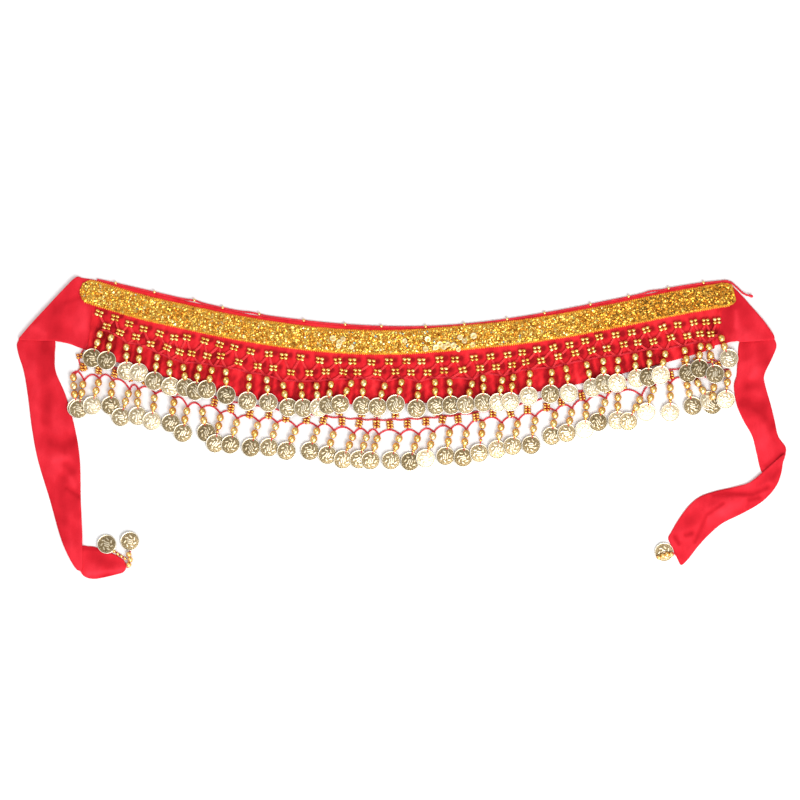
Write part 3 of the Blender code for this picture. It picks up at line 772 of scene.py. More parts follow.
# The net's two rows of bead blocks, and the blocks of the lower net that show, in pixels of the photo.
UPPER_BLOCKS = (
    (99.5, 313.5), (115.5, 318), (129.5, 324), (144, 329), (160, 333.5), (174.5, 337.5), (187, 337.5),
    (205, 341), (220, 344.5), (234.5, 347.5), (251, 351.5), (269, 354), (284, 356.5), (300.5, 357.5),
    (320, 360.5), (338, 361), (352.5, 361.5), (371.5, 362.5), (389, 361.5), (406.5, 361), (421.5, 361.5),
    (439.5, 359.5), (455, 359.5), (474, 358), (490.5, 356.5), (507.5, 355), (522, 352.5), (537, 349.5),
    (553, 347.5), (569.5, 345), (585, 341), (599, 337), (615.5, 335), (631.5, 332.5), (646, 330),
    (662.5, 327.5), (677.5, 325), (693.5, 322.5), (705.5, 322), (716.5, 321),
)
MIDDLE_BLOCKS = (
    (107, 326.5), (120.5, 332.5), (136.5, 337), (151, 344), (167.5, 347.5), (180, 352), (192, 353.5),
    (207.5, 356), (221, 356), (239, 362), (258, 366), (273.5, 368), (291, 372.5), (309.5, 373),
    (326, 371.5), (343.5, 372), (357.5, 372), (377.5, 372.5), (395.5, 371.5), (411, 372.5), (427.5, 372.5),
    (444, 370.5), (462.5, 370), (480, 368), (496, 367), (512, 365), (525.5, 362), (541, 360.5),
    (558, 356.5), (575, 353), (591.5, 350.5), (606.5, 348.5), (623.5, 344.5), (637.5, 342.5), (653, 341.5),
    (670.5, 337.5), (687, 336), (699.5, 334), (710.5, 334),
)
POST_BLOCKS = (
    (214.5, 402.5), (231, 408.5), (250, 414), (269, 414.5), (286, 418), (306.5, 419.5), (323.5, 420),
    (342, 421.5), (359, 423.5), (376.5, 424), (390, 424.5), (407.5, 424), (426, 421.5), (442.5, 419.5),
    (458, 419), (476, 417), (493, 413), (510.5, 413), (527.5, 409.5), (546.5, 407), (561.5, 401.5),
    (582, 396),
)
LEFT_END_BLOCKS = ((80, 356), (84, 368))
LEFT_END_THREAD = ((99, 334), (90, 341), (82, 352), (79, 360), (81, 368), (74, 375))


class BeltStation(NamedTuple):
    """Depths across the belt, measured down from its centre line, at a distance along it."""

    along: float
    trim_shift: float
    top: float
    hem: float
    lower_row: float


def column_of(table: Array, column: int, at: Array) -> Array:
    """A column of a table read as a smooth curve through its rows: a cubic that keeps each row's slope.

    Args:
        table: The rows, with the place of each in the first column.
        column: Which column is read.
        at: The places to read it at.

    Returns:
        The value at each place.
    """
    stations, values = table[:, 0], table[:, column]
    slopes = np.gradient(values, stations)
    at = np.clip(np.asarray(at, float), stations[0], stations[-1])
    after = np.clip(np.searchsorted(stations, at), 1, len(stations) - 1)
    before = after - 1
    step = stations[after] - stations[before]
    t = (at - stations[before]) / step
    return (
        values[before] * (2 * t**3 - 3 * t**2 + 1)
        + values[after] * (3 * t**2 - 2 * t**3)
        + slopes[before] * step * (t**3 - 2 * t**2 + t)
        + slopes[after] * step * (t**3 - t**2)
    )


@dataclass
class BeltPlan:
    """Where everything on the belt lies: a bowed centre line, and depths square to it."""

    middle: Pair = (2.1, 90.2)
    bow_radius: float = 71.4
    bow_slope: float = 0.30
    first_column: float = -309.0
    column_pitch: float = 16.2
    columns: int = 40
    trim_width: float = 24.4
    gather_start: float = 2.0
    gather_rise: float = 1.3
    locate_rounds: int = 8
    stations: tuple[BeltStation, ...] = (
        BeltStation(-345.0, -3.0, 17.0, 58.0, 89.5),
        BeltStation(-320.0, -2.3, 18.2, 58.0, 90.5),
        BeltStation(-280.0, 0.3, 18.6, 57.8, 89.5),
        BeltStation(-230.0, 1.1, 18.0, 62.0, 92.3),
        BeltStation(-160.0, 2.0, 16.5, 67.0, 99.1),
        BeltStation(-100.0, 2.0, 17.0, 66.5, 101.0),
        BeltStation(-20.0, 0.7, 17.0, 62.3, 102.0),
        BeltStation(60.0, -2.0, 16.8, 60.5, 98.0),
        BeltStation(150.0, -1.2, 18.0, 59.9, 90.9),
        BeltStation(230.0, -1.0, 18.6, 56.8, 87.0),
        BeltStation(290.0, 0.0, 17.6, 55.1, 87.5),
        BeltStation(320.0, 1.7, 15.2, 53.5, 88.3),
        BeltStation(346.0, 3.5, 11.6, 52.5, 88.5),
    )

    def depth(self, name: str, along: Array) -> Array:
        """A column of the stations at distances along the belt."""
        return column_of(np.array(self.stations), BeltStation._fields.index(name), along)

    def point(self, along: Values, depth: Values) -> Array:
        """Places on the plan at a distance along the centre line and a depth square to it.

        Args:
            along: Distances along.
            depth: Depths down from the line.

        Returns:
            X and Y, shaped (..., 2).
        """
        along = np.asarray(along, float)
        bow = np.sqrt(self.bow_radius**2 + (self.bow_slope * along) ** 2)
        slope = self.bow_slope**2 * along / bow
        length = np.sqrt(1 + slope**2)
        x = self.middle[0] + along + depth * slope / length
        y = self.middle[1] + bow - self.bow_radius - depth / length
        return np.stack(np.broadcast_arrays(x, y), -1)

    def locate(self, places: Array) -> tuple[Array, Array]:
        """The reverse of point, found step by step.

        Args:
            places: X and Y, shaped (..., 2).

        Returns:
            Distances along the centre line, and depths square to it.
        """
        along = places[..., 0] - self.middle[0]
        for _ in range(self.locate_rounds):
            bow = np.sqrt(self.bow_radius**2 + (self.bow_slope * along) ** 2)
            slope = self.bow_slope**2 * along / bow
            length = np.sqrt(1 + slope**2)
            depth = (self.middle[1] + bow - self.bow_radius - places[..., 1]) * length
            along = places[..., 0] - self.middle[0] - depth * slope / length
        return along, depth

    def square(self, along: Values) -> Array:
        """The direction down from the centre line, square to it."""
        return self.point(along, 1.0) - self.point(along, 0.0)

    def gather(self, along: Array, depth: Array) -> Array:
        """How full the gathers are, from 0 below the trim to 1 at the hem."""
        start = self.depth("trim_shift", along) + self.trim_width / 2 + self.gather_start
        return ease((depth - start) / (self.depth("hem", along) - start))

    def crest(self, along: Array, depth: Array) -> Array:
        """The height of the gathers' crests, which the nets and strands lie on."""
        return CLOTH_THICKNESS + self.gather_rise * self.gather(along, depth)

    def column(self, index: Values) -> Array:
        """The distance along of one of the even columns, or of a half way between two."""
        return self.first_column + np.asarray(index, float) * self.column_pitch


class Crease(NamedTuple):
    """A soft trough in cloth along a way on the plan, with its own painted shade, or a ridge at a negative
    depth; a negative shade is a painted highlight.
    """

    way: Pairs
    width: float
    depth: float
    shade: float

    def at(self, places: Array) -> Array:
        """How near places are to it, as a bell: exp(-(d / width)^2) of the distance d to the way.

        Args:
            places: X and Y, shaped (..., 2).

        Returns:
            From 0 to 1 at each place.
        """
        nearest = np.full(places.shape[:-1], np.inf)
        for start, end in zip(self.way, self.way[1:]):
            start, run = np.array(start), np.array(end) - np.array(start)
            share = np.clip(((places - start) @ run) / (run @ run), 0, 1)
            gap = np.linalg.norm(places - start - share[..., None] * run, axis=-1)
            nearest = np.minimum(nearest, gap)
        return np.exp(-((nearest / self.width) ** 2))


def ripples(places: Array, seed: int, lengths: Sequence[float], height: float) -> Array:
    """Slow uneven waves over cloth: a sum of sines with random bearings and phases, one for each length.

    Args:
        places: X and Y, shaped (..., 2).
        seed: What the bearings and phases are drawn from.
        lengths: The wavelengths.
        height: The height of the longest, which the others share by their length.

    Returns:
        The height at each place.
    """
    random = default_rng(seed)
    total = np.zeros(places.shape[:-1])
    for length in lengths:
        bearing, phase = random.uniform(0, 2 * math.pi, 2)
        run = places[..., 0] * math.cos(bearing) + places[..., 1] * math.sin(bearing)
        total += height * length / max(lengths) * np.sin(2 * math.pi * run / length + phase)
    return total


@dataclass
class BeltCloth:
    """The gathered velvet belt."""

    plan: BeltPlan
    seam_left: Pair = (-325.0, -317.0)
    seam_right: Pair = (348.0, 315.0)
    seam_reach: float = 45.0
    edging_room: float = 2.2
    hem_drops: Pairs = (
        (-335.0, 0.0), (-305.0, 5.0), (-150.0, 6.0), (-80.0, 3.0), (220.0, 3.0), (345.0, 1.0),
    )
    mean_width: float = 80.0
    edge_thickness: float = 1.2
    edge_radius: float = 1.4
    thinnest: float = 0.8
    row_step: float = 1.35
    columns_across: int = 38
    past_last_strand: float = 30.0
    ridge_share: float = 0.92
    ridge_width: float = 5.5
    # Painted shadow of the strands along the ridges under them.
    ridge_shade: float = 0.20
    # Hollows beside the net's bead blocks: a shallow dip, and the blocks' painted shadow on the cloth.
    hollow_radius: float = 2.9
    hollow_depth: float = 0.35
    painted_block_shadow: float = 0.62
    hollow_step: Pair = (6.6, 1.4)
    crease_place: float = 4.6
    crease_wander: float = 1.3
    crease_width: float = 2.1
    crease_share: float = 0.95
    # Painted shade in the creases beside each strand.
    crease_shade: float = 0.40
    crease_least: float = 0.25
    broad_waves: tuple[float, ...] = (11.0, 17.0, 29.0)
    broad_height: float = 0.30
    broad_tone: float = 0.25
    fine_waves: tuple[float, ...] = (4.6, 5.4, 6.3, 7.7)
    fine_height: float = 0.10
    fine_tone: float = 0.5
    plain_tone: float = 0.56
    # Creases on the belt, each with its painted shade.
    creases: tuple[Crease, ...] = (
        Crease(((-314, 121), (-313, 104), (-306, 88)), 2.6, 0.7, 0.28),
        Crease(((-300, 112), (-292, 98)), 3, 0.6, 0.2),
        Crease(((324, 112), (331, 101)), 4, 0.7, 0.28),
        Crease(((338, 124), (345, 112)), 4, 0.7, 0.25),
        Crease(((62, 42), (72, 35)), 5, 0.5, 0.25),
        Crease(((80, 48), (86, 38)), 4, 0.5, 0.22),
    )
    cut: Triple = (0.700, 0.084, 0.0545)

    def moved(self, along: Array, share: Array) -> Array:
        """Where cross lines go so that the end ones lie on the slanting seams.

        Args:
            along: Distances along of the upright cross lines.
            share: Shares of the way from the top edge to the hem.

        Returns:
            The distances along at each share.
        """
        result = along + 0 * share
        for top, hem in (self.seam_left, self.seam_right):
            rest = (top + hem) / 2
            near = ease(1 - np.abs(along - rest) / self.seam_reach)
            result = result + (top + (hem - top) * share - rest) * near
        return result

    def strand_step(self, along: Array) -> Array:
        """The upper fringe's strands counted along the belt, and evenly between two of them.

        Args:
            along: Distances along.

        Returns:
            0 at the first strand, 1 at the next, and so on.
        """
        count = self.plan.columns
        strands, _ = self.plan.locate(from_photo(np.array(UPPER_STRANDS)[:, :2]))
        before, after = strands[:1] - 2 * self.plan.column_pitch, strands[-1:] + self.past_last_strand
        numbers = np.concatenate([[-2.0], np.arange(count), [count + 1.0]])
        return np.interp(along, np.concatenate([before, strands, after]), numbers)

    def strand_creases(self, step: Array, full: Array) -> Array:
        """Creases at both sides of the ridge under each strand, each by its own amount.

        With d the distance to the nearest strand, a crease is exp(-((d - 4.6) / 2.1)^2).

        Args:
            step: Strands counted along the belt.
            full: How full the gathers are.

        Returns:
            From 0 to 1 at each place.
        """
        random = default_rng(5)
        count = self.plan.columns
        nearest = np.clip(np.round(step).astype(int), -2, count + 1)
        crease = np.zeros(full.shape)
        for side in (-1, 1):
            amounts = random.uniform(self.crease_least, 1.0, count + 4)
            wander = random.uniform(-self.crease_wander, self.crease_wander, count + 4)
            place = self.crease_place + wander[nearest + 2] * full
            gap = (step - nearest) * self.plan.column_pitch - side * place
            crease = np.maximum(crease, amounts[nearest + 2] * np.exp(-((gap / self.crease_width) ** 2)))
        return crease

    def block_shadow_hollows(self, places: Array) -> Array:
        """Hollows beside the net's bead blocks, where their painted shadow falls: a sum of bells exp(-(d /
        radius)^2) of the distance d to each.

        Args:
            places: X and Y, shaped (..., 2).

        Returns:
            How near each place is to them.
        """
        middles = np.concatenate([from_photo(UPPER_BLOCKS), from_photo(MIDDLE_BLOCKS)]) + self.hollow_step
        return sum(np.exp(-(((places - middle) ** 2).sum(-1) / self.hollow_radius**2)) for middle in middles)

    def relief(self, along: Array, depth: Array) -> tuple[Array, Array]:
        """Height and tone: a ridge under each strand, a puff between two, creases, hollows and slow waves,
        with painted shade and light in the tone.

        All but the placed creases and the hollows grow from the trim towards the hem.

        Args:
            along: Distances along.
            depth: Depths.

        Returns:
            The height over the floor, and the tone.
        """
        full = self.plan.gather(along, depth)
        step = self.strand_step(along)
        crease = self.strand_creases(step, full)
        places = self.plan.point(along, depth)
        broad = ripples(places, 21, self.broad_waves, self.broad_height) * (0.25 + 0.75 * full)
        fine = ripples(places, 22, self.fine_waves, self.fine_height) * (0.4 + 0.6 * full)
        near_block_shadow = self.block_shadow_hollows(places)
        # Painted shade of the placed creases, and painted highlight where their shade is negative.
        shade = sum(part.shade * part.at(places) for part in self.creases)
        sunk = sum(part.depth * part.at(places) for part in self.creases)
        # Painted shadow of the net's bead blocks, beside each block.
        shade = shade + self.painted_block_shadow * near_block_shadow
        sunk = sunk + self.hollow_depth * near_block_shadow
        puff = self.plan.gather_rise * full * (self.ridge_share - self.crease_share * crease)
        height = CLOTH_THICKNESS + puff + broad + fine - sunk
        ridge = np.exp(-(((step - np.round(step)) * self.plan.column_pitch / self.ridge_width) ** 2))
        # Painted shade in the creases beside each strand, and painted shadow of the strand along the ridge
        # under it.
        tone = self.plain_tone - self.crease_shade * crease * (0.1 + 0.9 * full)
        tone = tone - self.ridge_shade * ridge * full
        # Painted light where the waves rise and painted shade where they sink, less all the painted shade
        # above.
        tone = tone + self.broad_tone * broad + self.fine_tone * fine - shade
        return np.maximum(height, self.thinnest), tone

    def build(self) -> Pieces:
        """The belt as one closed sheet, flat below and rounded at its edges.

        Returns:
            The belt's object.
        """
        left, right = sum(self.seam_left) / 2, sum(self.seam_right) / 2
        run = edge_spaced(right - left, self.row_step)
        rest = (left + run)[:, None]
        across = edge_spaced(self.mean_width, self.mean_width / self.columns_across)
        share = (across / self.mean_width)[None]
        along = self.moved(rest, share)
        top = -self.plan.depth("top", along) + self.edging_room
        drops = np.array(self.hem_drops)
        hem = self.plan.depth("hem", along) + np.interp(along, drops[:, 0], drops[:, 1])
        depth = top + (hem - top) * share
        height, tone = self.relief(along, depth)
        rows = turned_edge(np.minimum(run, run[-1] - run), self.edge_radius)[:, None]
        sides = turned_edge(np.minimum(across, self.mean_width - across), self.edge_radius)[None]
        full = rows * sides
        places = self.plan.point(along, depth)
        half = self.edge_thickness / 2
        over = flat_point(places, half + (height - half) * full)
        under = flat_point(places, half * (1 - full) + SHEET_GAP)
        patch = closed_sheet(over, under, tone)
        sheet = make_piece("belt_cloth", [patch], VELVET, ["belt_panel"])
        return [sheet]


class TieLine(NamedTuple):
    """A line across a tie, from a left or upper edge point to a right or lower one."""

    left_x: float
    left_y: float
    right_x: float
    right_y: float
    fold: float = 0.0
    lift: float = 0.0


def corner_inset(distance: Array, radius: float) -> Array:
    """How far a rounded corner draws an edge in, at distances from the end: r - sqrt(r^2 - (r - d)^2)."""
    inside = np.clip(1 - distance / max(radius, 1e-6), 0, 1)
    return radius * (1 - np.sqrt(1 - inside**2))


@dataclass
class Tie:
    """One stretch of a velvet tie: a strip between its cross lines, with folds that run along it."""

    name: str
    lines: tuple[TieLine, ...]
    creases: tuple[Crease, ...]
    cut: Triple
    seed: int
    fold_height: float = 1.1
    folds_across: float = 1.35
    fold_drift: float = 0.06
    fold_start: float = 0.8
    fold_margin: float = 0.04
    waves: tuple[float, ...] = (13.0, 23.0, 41.0)
    wave_height: float = 0.38
    calm_edge: float = 6.0
    plain_tone: float = 0.54
    relief_tone: float = 0.12
    edge_thickness: float = 1.4
    edge_radius: float = 1.5
    thinnest: float = 0.7
    step: float = 1.15
    start_corner: float = 4.0
    end_corner: float = 4.0

    def read_lines(self) -> tuple[Array, Array, Array, Array, Array, Array]:
        """The cross lines read as smooth curves, evenly along the middle, with the end corners rounded.

        Returns:
            Distances along the middle, the cross lines counted there, the left and right edge points, and
            each cross line's lift and fold.
        """
        table = np.concatenate([np.arange(len(self.lines))[:, None], np.array(self.lines)], 1)
        fine = np.linspace(0, len(table) - 1, 24 * len(table))
        curves = [column_of(table, column, fine) for column in (1, 2, 3, 4)]
        curves += [np.interp(fine, table[:, 0], table[:, column]) for column in (5, 6)]
        middle = (np.stack(curves[:2], -1) + np.stack(curves[2:4], -1)) / 2
        reach = np.concatenate([[0.0], np.cumsum(np.linalg.norm(np.diff(middle, axis=0), axis=1))])
        run = edge_spaced(reach[-1], self.step)
        count = np.interp(run, reach, fine)
        left_x, left_y, right_x, right_y, fold, lift = (np.interp(count, fine, curve) for curve in curves)
        left, right = np.stack([left_x, left_y], -1), np.stack([right_x, right_y], -1)
        width = np.linalg.norm(right - left, axis=1)
        inset = corner_inset(run, self.start_corner) + corner_inset(run[-1] - run, self.end_corner)
        inset = np.minimum(inset, 0.4 * width)[:, None] * (right - left) / width[:, None]
        return run, count, left + inset, right - inset, lift[:, None], fold[:, None]

    def build(self) -> Pieces:
        """The stretch as one closed sheet.

        Its height is the cloth's, plus the ripple of its folds where its lines say so, less its creases.

        Returns:
            The stretch's object.
        """
        run, count, left, right, lift, fold = self.read_lines()
        width = np.linalg.norm(right - left, axis=1)
        edge = np.array(EDGE_STEPS) / width.max()
        across = edge_spaced(1.0, self.step / width.max(), edge)
        places = left[:, None] + (right - left)[:, None] * across[None, :, None]
        turns = self.folds_across * across[None] + self.fold_drift * count[:, None]
        ripple = 0.5 + 0.5 * np.sin(2 * math.pi * turns + self.fold_start)
        inner = np.clip(across, self.fold_margin, 1 - self.fold_margin)
        shape = ripple * np.sin(math.pi * inner)[None] ** 0.5
        # Painted shade of the creases, and painted highlight where their shade is negative.
        shade = sum(part.shade * part.at(places) for part in self.creases)
        sunk = sum(part.depth * part.at(places) for part in self.creases)
        uneven = ripples(places, self.seed, self.waves, self.wave_height)
        inside = width[:, None] * np.minimum(across, 1 - across)[None]
        calm = ease(inside / self.calm_edge)
        height = CLOTH_THICKNESS + self.fold_height * fold * shape + (uneven - sunk) * calm
        height = np.maximum(height, self.thinnest)
        # Painted light on the fold crests and the waves, painted shade in their troughs, less the creases'
        # painted shade.
        tone = self.plain_tone + self.relief_tone * fold * (shape - 0.4) + self.relief_tone * uneven - shade
        rows = turned_edge(np.minimum(run, run[-1] - run), self.edge_radius)[:, None]
        full = rows * turned_edge(inside, self.edge_radius)
        half = self.edge_thickness / 2
        over = flat_point(places, lift + half + (height - half) * full)
        under = flat_point(places, lift + half * (1 - full) + SHEET_GAP)
        patch = closed_sheet(over, under, tone)
        sheet = make_piece(self.name + "_cloth", [patch], TIE_VELVET, [self.name])
        length, width, area = self.cut
        return [sheet]


LIFTED = 2.1
# Each tie's creases carry painted shade, and painted highlight where their shade is negative.
LEFT_SHOULDER = Tie(
    "left_tie_shoulder",
    (
        TieLine(-318.7, 155.3, -327.2, 81.1), TieLine(-326, 156.5, -337, 84.5),
        TieLine(-333, 157.5, -348.6, 88.7, 0.1), TieLine(-340, 158.3, -363.3, 91.3, 1, LIFTED),
        TieLine(-351.5, 147.5, -376, 91.5, 0.8, LIFTED),
        TieLine(-368, 130, -389.5, 91.8, 0.5, LIFTED),
        TieLine(-388.5, 107.8, -401.6, 92.4, 0.2, LIFTED),
    ),
    (
        Crease(((-360.2, 119.7), (-359.1, 106)), 12.2, 0.8, 0.36),
        Crease(((-331.8, 124), (-331.8, 106)), 5, -0.3, -0.16),
        Crease(((-390, 108), (-373, 100)), 4, -0.3, -0.13),
        Crease(((-336, 138), (-350.7, 132.3)), 3, 0.6, 0.18),
        Crease(((-322, 122), (-326, 90)), 2.6, 0.4, 0.26),
    ),
    (0.080, 0.068, 0.0038),
    31,
    start_corner=0.0,
)
LEFT_DROP = Tie(
    "left_tie_drop",
    (
        TieLine(-397.5, 96.6, -365.5, 130.5), TieLine(-401, 91, -362.3, 103),
        TieLine(-402.2, 86, -361.7, 86.5, 0.4), TieLine(-400, 75.5, -362.3, 75.5, 1),
        TieLine(-394.8, 58.8, -361.2, 58.8, 1), TieLine(-390.6, 33.6, -350.7, 33.6, 1),
        TieLine(-386.4, 0, -341.3, 0, 0.8), TieLine(-380.1, -33.6, -336, -33.6, 0.9),
        TieLine(-367.5, -75.6, -335, -75.6, 1), TieLine(-358, -109.2, -333.4, -109.2, 0.8, 1.1),
        TieLine(-351.5, -127, -333.2, -124.5, 0.5, LIFTED),
        TieLine(-343.4, -142.8, -333, -139, 0.3, LIFTED),
        TieLine(-337.1, -151.2, -333.2, -149.5, 0, LIFTED),
    ),
    (
        Crease(((-373.3, 94), (-375.6, 67.2), (-368.8, 35.7), (-372.2, 8.4)), 6.2, 1, 0.31),
        Crease(((-367.5, 84), (-363, 58.8)), 7.4, 0.5, 0.24),
        Crease(((-365.4, -15.8), (-351.8, -18.9), (-339.2, -12.6)), 7.4, 0.8, 0.33),
        Crease(((-352, -38), (-345, -45)), 5.4, 0.9, 0.31),
        Crease(((-353.9, -52.5), (-354.9, -73.5), (-351.8, -96.6)), 6.1, 0.9, 0.31),
        Crease(((-349.7, -63), (-333, -75.6)), 2.6, 0.9, 0.29),
        Crease(((-344.4, -77.6), (-338, -90)), 6, 0.3, 0.18),
        Crease(((-362, -33), (-350, -32)), 5, -0.4, -0.20),
        Crease(((-346, -52), (-342, -60)), 3.5, -0.3, -0.18),
        Crease(((-384, 60), (-378, -2)), 6, -0.3, -0.10),
        Crease(((-367.5, -70.4), (-355, -117.6)), 3.5, 0.3, 0.16),
    ),
    (0.275, 0.046, 0.0098),
    32,
)
LEFT_END = Tie(
    "left_tie_end",
    (
        TieLine(-348, -127.5, -336, -149.5), TieLine(-334, -123.6, -332.5, -155),
        TieLine(-327.6, -123.9, -326.6, -157.8, 0.6), TieLine(-319.2, -125, -318.5, -158.3, 1),
        TieLine(-302.4, -131.3, -305.5, -155.7, 1), TieLine(-291.9, -137, -293, -152.5, 0.7),
        TieLine(-286.1, -142.8, -288.8, -151, 0.3),
    ),
    (
        Crease(((-322.4, -131.3), (-306.6, -141.8)), 6.8, 0.7, 0.24),
        Crease(((-326.6, -152.5), (-294, -149.5)), 2.6, -0.5, -0.21),
        Crease(((-331.8, -126), (-313, -127.5)), 2.4, 0.4, 0.34),
    ),
    (0.058, 0.034, 0.0016),
    33,
)
RIGHT_SHOULDER = Tie(
    "right_tie_shoulder",
    (
        TieLine(345, 153.1, 329, 86.5), TieLine(358.5, 139.5, 340, 88.4, 0.3, 0.2),
        TieLine(369.5, 127, 345.5, 90, 0.8, 1.1), TieLine(381.2, 113.4, 351.7, 90.8, 0.9, LIFTED),
        TieLine(389.5, 101.9, 354.3, 91.1, 0.5, LIFTED), TieLine(395.3, 92.6, 356.2, 90, 0.1, LIFTED),
    ),
    (
        Crease(((345.9, 126), (343.4, 106.1)), 7.4, 0.8, 0.33),
        Crease(((352.2, 122.8), (352.9, 106.2)), 2.8, -0.4, -0.21),
        Crease(((364, 123.9), (364.4, 109.2)), 6.8, 0.5, 0.21),
        Crease(((349.7, 141.7), (356, 131.3)), 6.8, 0.3, 0.24),
    ),
    (0.050, 0.068, 0.0024),
    34,
    start_corner=0.0,
)
RIGHT_DROP = Tie(
    "right_tie_drop",
    (
        TieLine(360.5, 96.3, 390, 98.5), TieLine(355.7, 88, 395.3, 87.5),
        TieLine(354.6, 75.6, 391.7, 75.6, 0.6), TieLine(353.2, 55.6, 382.8, 56.5, 1),
        TieLine(350.5, 44.1, 383.2, 46, 1), TieLine(353.2, 25.2, 389, 25.2, 1),
        TieLine(360.2, 8.4, 393.2, 8.4, 1), TieLine(369.6, -8.4, 397, -8.4, 0.7),
        TieLine(374.3, -26.5, 404.6, -19.5, 0.2), TieLine(378.6, -44, 404.8, -27.5),
        TieLine(385, -52.5, 401.5, -38),
    ),
    (
        Crease(((360.1, 90), (362.3, 76.7)), 6.1, 0.8, 0.30),
        Crease(((376.9, 90.4), (385.3, 69.3)), 6.1, 0.7, 0.21),
        Crease(((365.4, 44.1), (374.9, 45.2)), 5.4, 0.7, 0.33),
        Crease(((361.2, 26.3), (382.2, 24.2)), 7.4, 0.8, 0.33),
        Crease(((374.9, 21), (391.7, 2.6)), 5.7, 0.8, 0.33),
        Crease(((372.8, 62), (368.6, 54)), 4, -0.3, -0.16),
        Crease(((369.6, 8.4), (380.1, -17.9)), 5, -0.3, -0.10),
        Crease(((384.3, -39.9), (400.5, -27.4)), 2.6, 0.5, 0.31),
    ),
    (0.152, 0.040, 0.0050),
    35,
)
RIGHT_END = Tie(
    "right_tie_end",
    (
        TieLine(399.5, -29.8, 404.2, -26.3, 0, LIFTED), TieLine(389.5, -38.3, 401.9, -35.7, 0.2, LIFTED),
        TieLine(379.1, -47.3, 400, -47.3, 0.6, LIFTED), TieLine(371.7, -53.6, 395.9, -58.8, 1, LIFTED),
        TieLine(363.6, -58.4, 387.5, -70.4, 1, 1), TieLine(347.6, -62.5, 375.9, -80.3, 1),
        TieLine(331.1, -66.2, 358.1, -90.3, 1), TieLine(315.4, -71.7, 338.1, -100.3, 0.9),
        TieLine(303.3, -81.3, 323.4, -112.9, 0.9), TieLine(291.9, -96.6, 311.9, -125.5, 1),
        TieLine(284.6, -109.2, 303.5, -136.5, 0.7), TieLine(280.8, -115.6, 295, -145.4, 0.2),
    ),
    (
        Crease(((329.7, -69.3), (351.8, -68.3), (369.6, -69.3), (385.4, -62)), 2.8, 1.1, 0.39),
        Crease(((367, -75), (376, -73)), 2.8, 0.8, 0.44),
        Crease(((390.6, -52.5), (396.9, -44.1)), 3, 0.4, 0.26),
        Crease(((303.5, -97.7), (311, -92)), 7, 0.7, 0.31),
        Crease(((288.5, -114), (292.5, -121)), 2.4, 0.7, 0.39),
        Crease(((300, -112), (306, -110)), 2.4, 0.7, 0.36),
        Crease(((309.5, -119.3), (321.6, -91.1), (339.2, -78.8)), 2, 0.6, 0.26),
        Crease(((315, -69.4), (344.4, -63.5)), 2.6, 0.4, 0.26),
        Crease(((338.1, -88.2), (357, -80.9)), 6, -0.3, -0.13),
    ),
    (0.165, 0.038, 0.0047),
    36,
    start_corner=1.5,
    end_corner=3.0,
)
TIES = (LEFT_SHOULDER, LEFT_DROP, LEFT_END, RIGHT_SHOULDER, RIGHT_DROP, RIGHT_END)


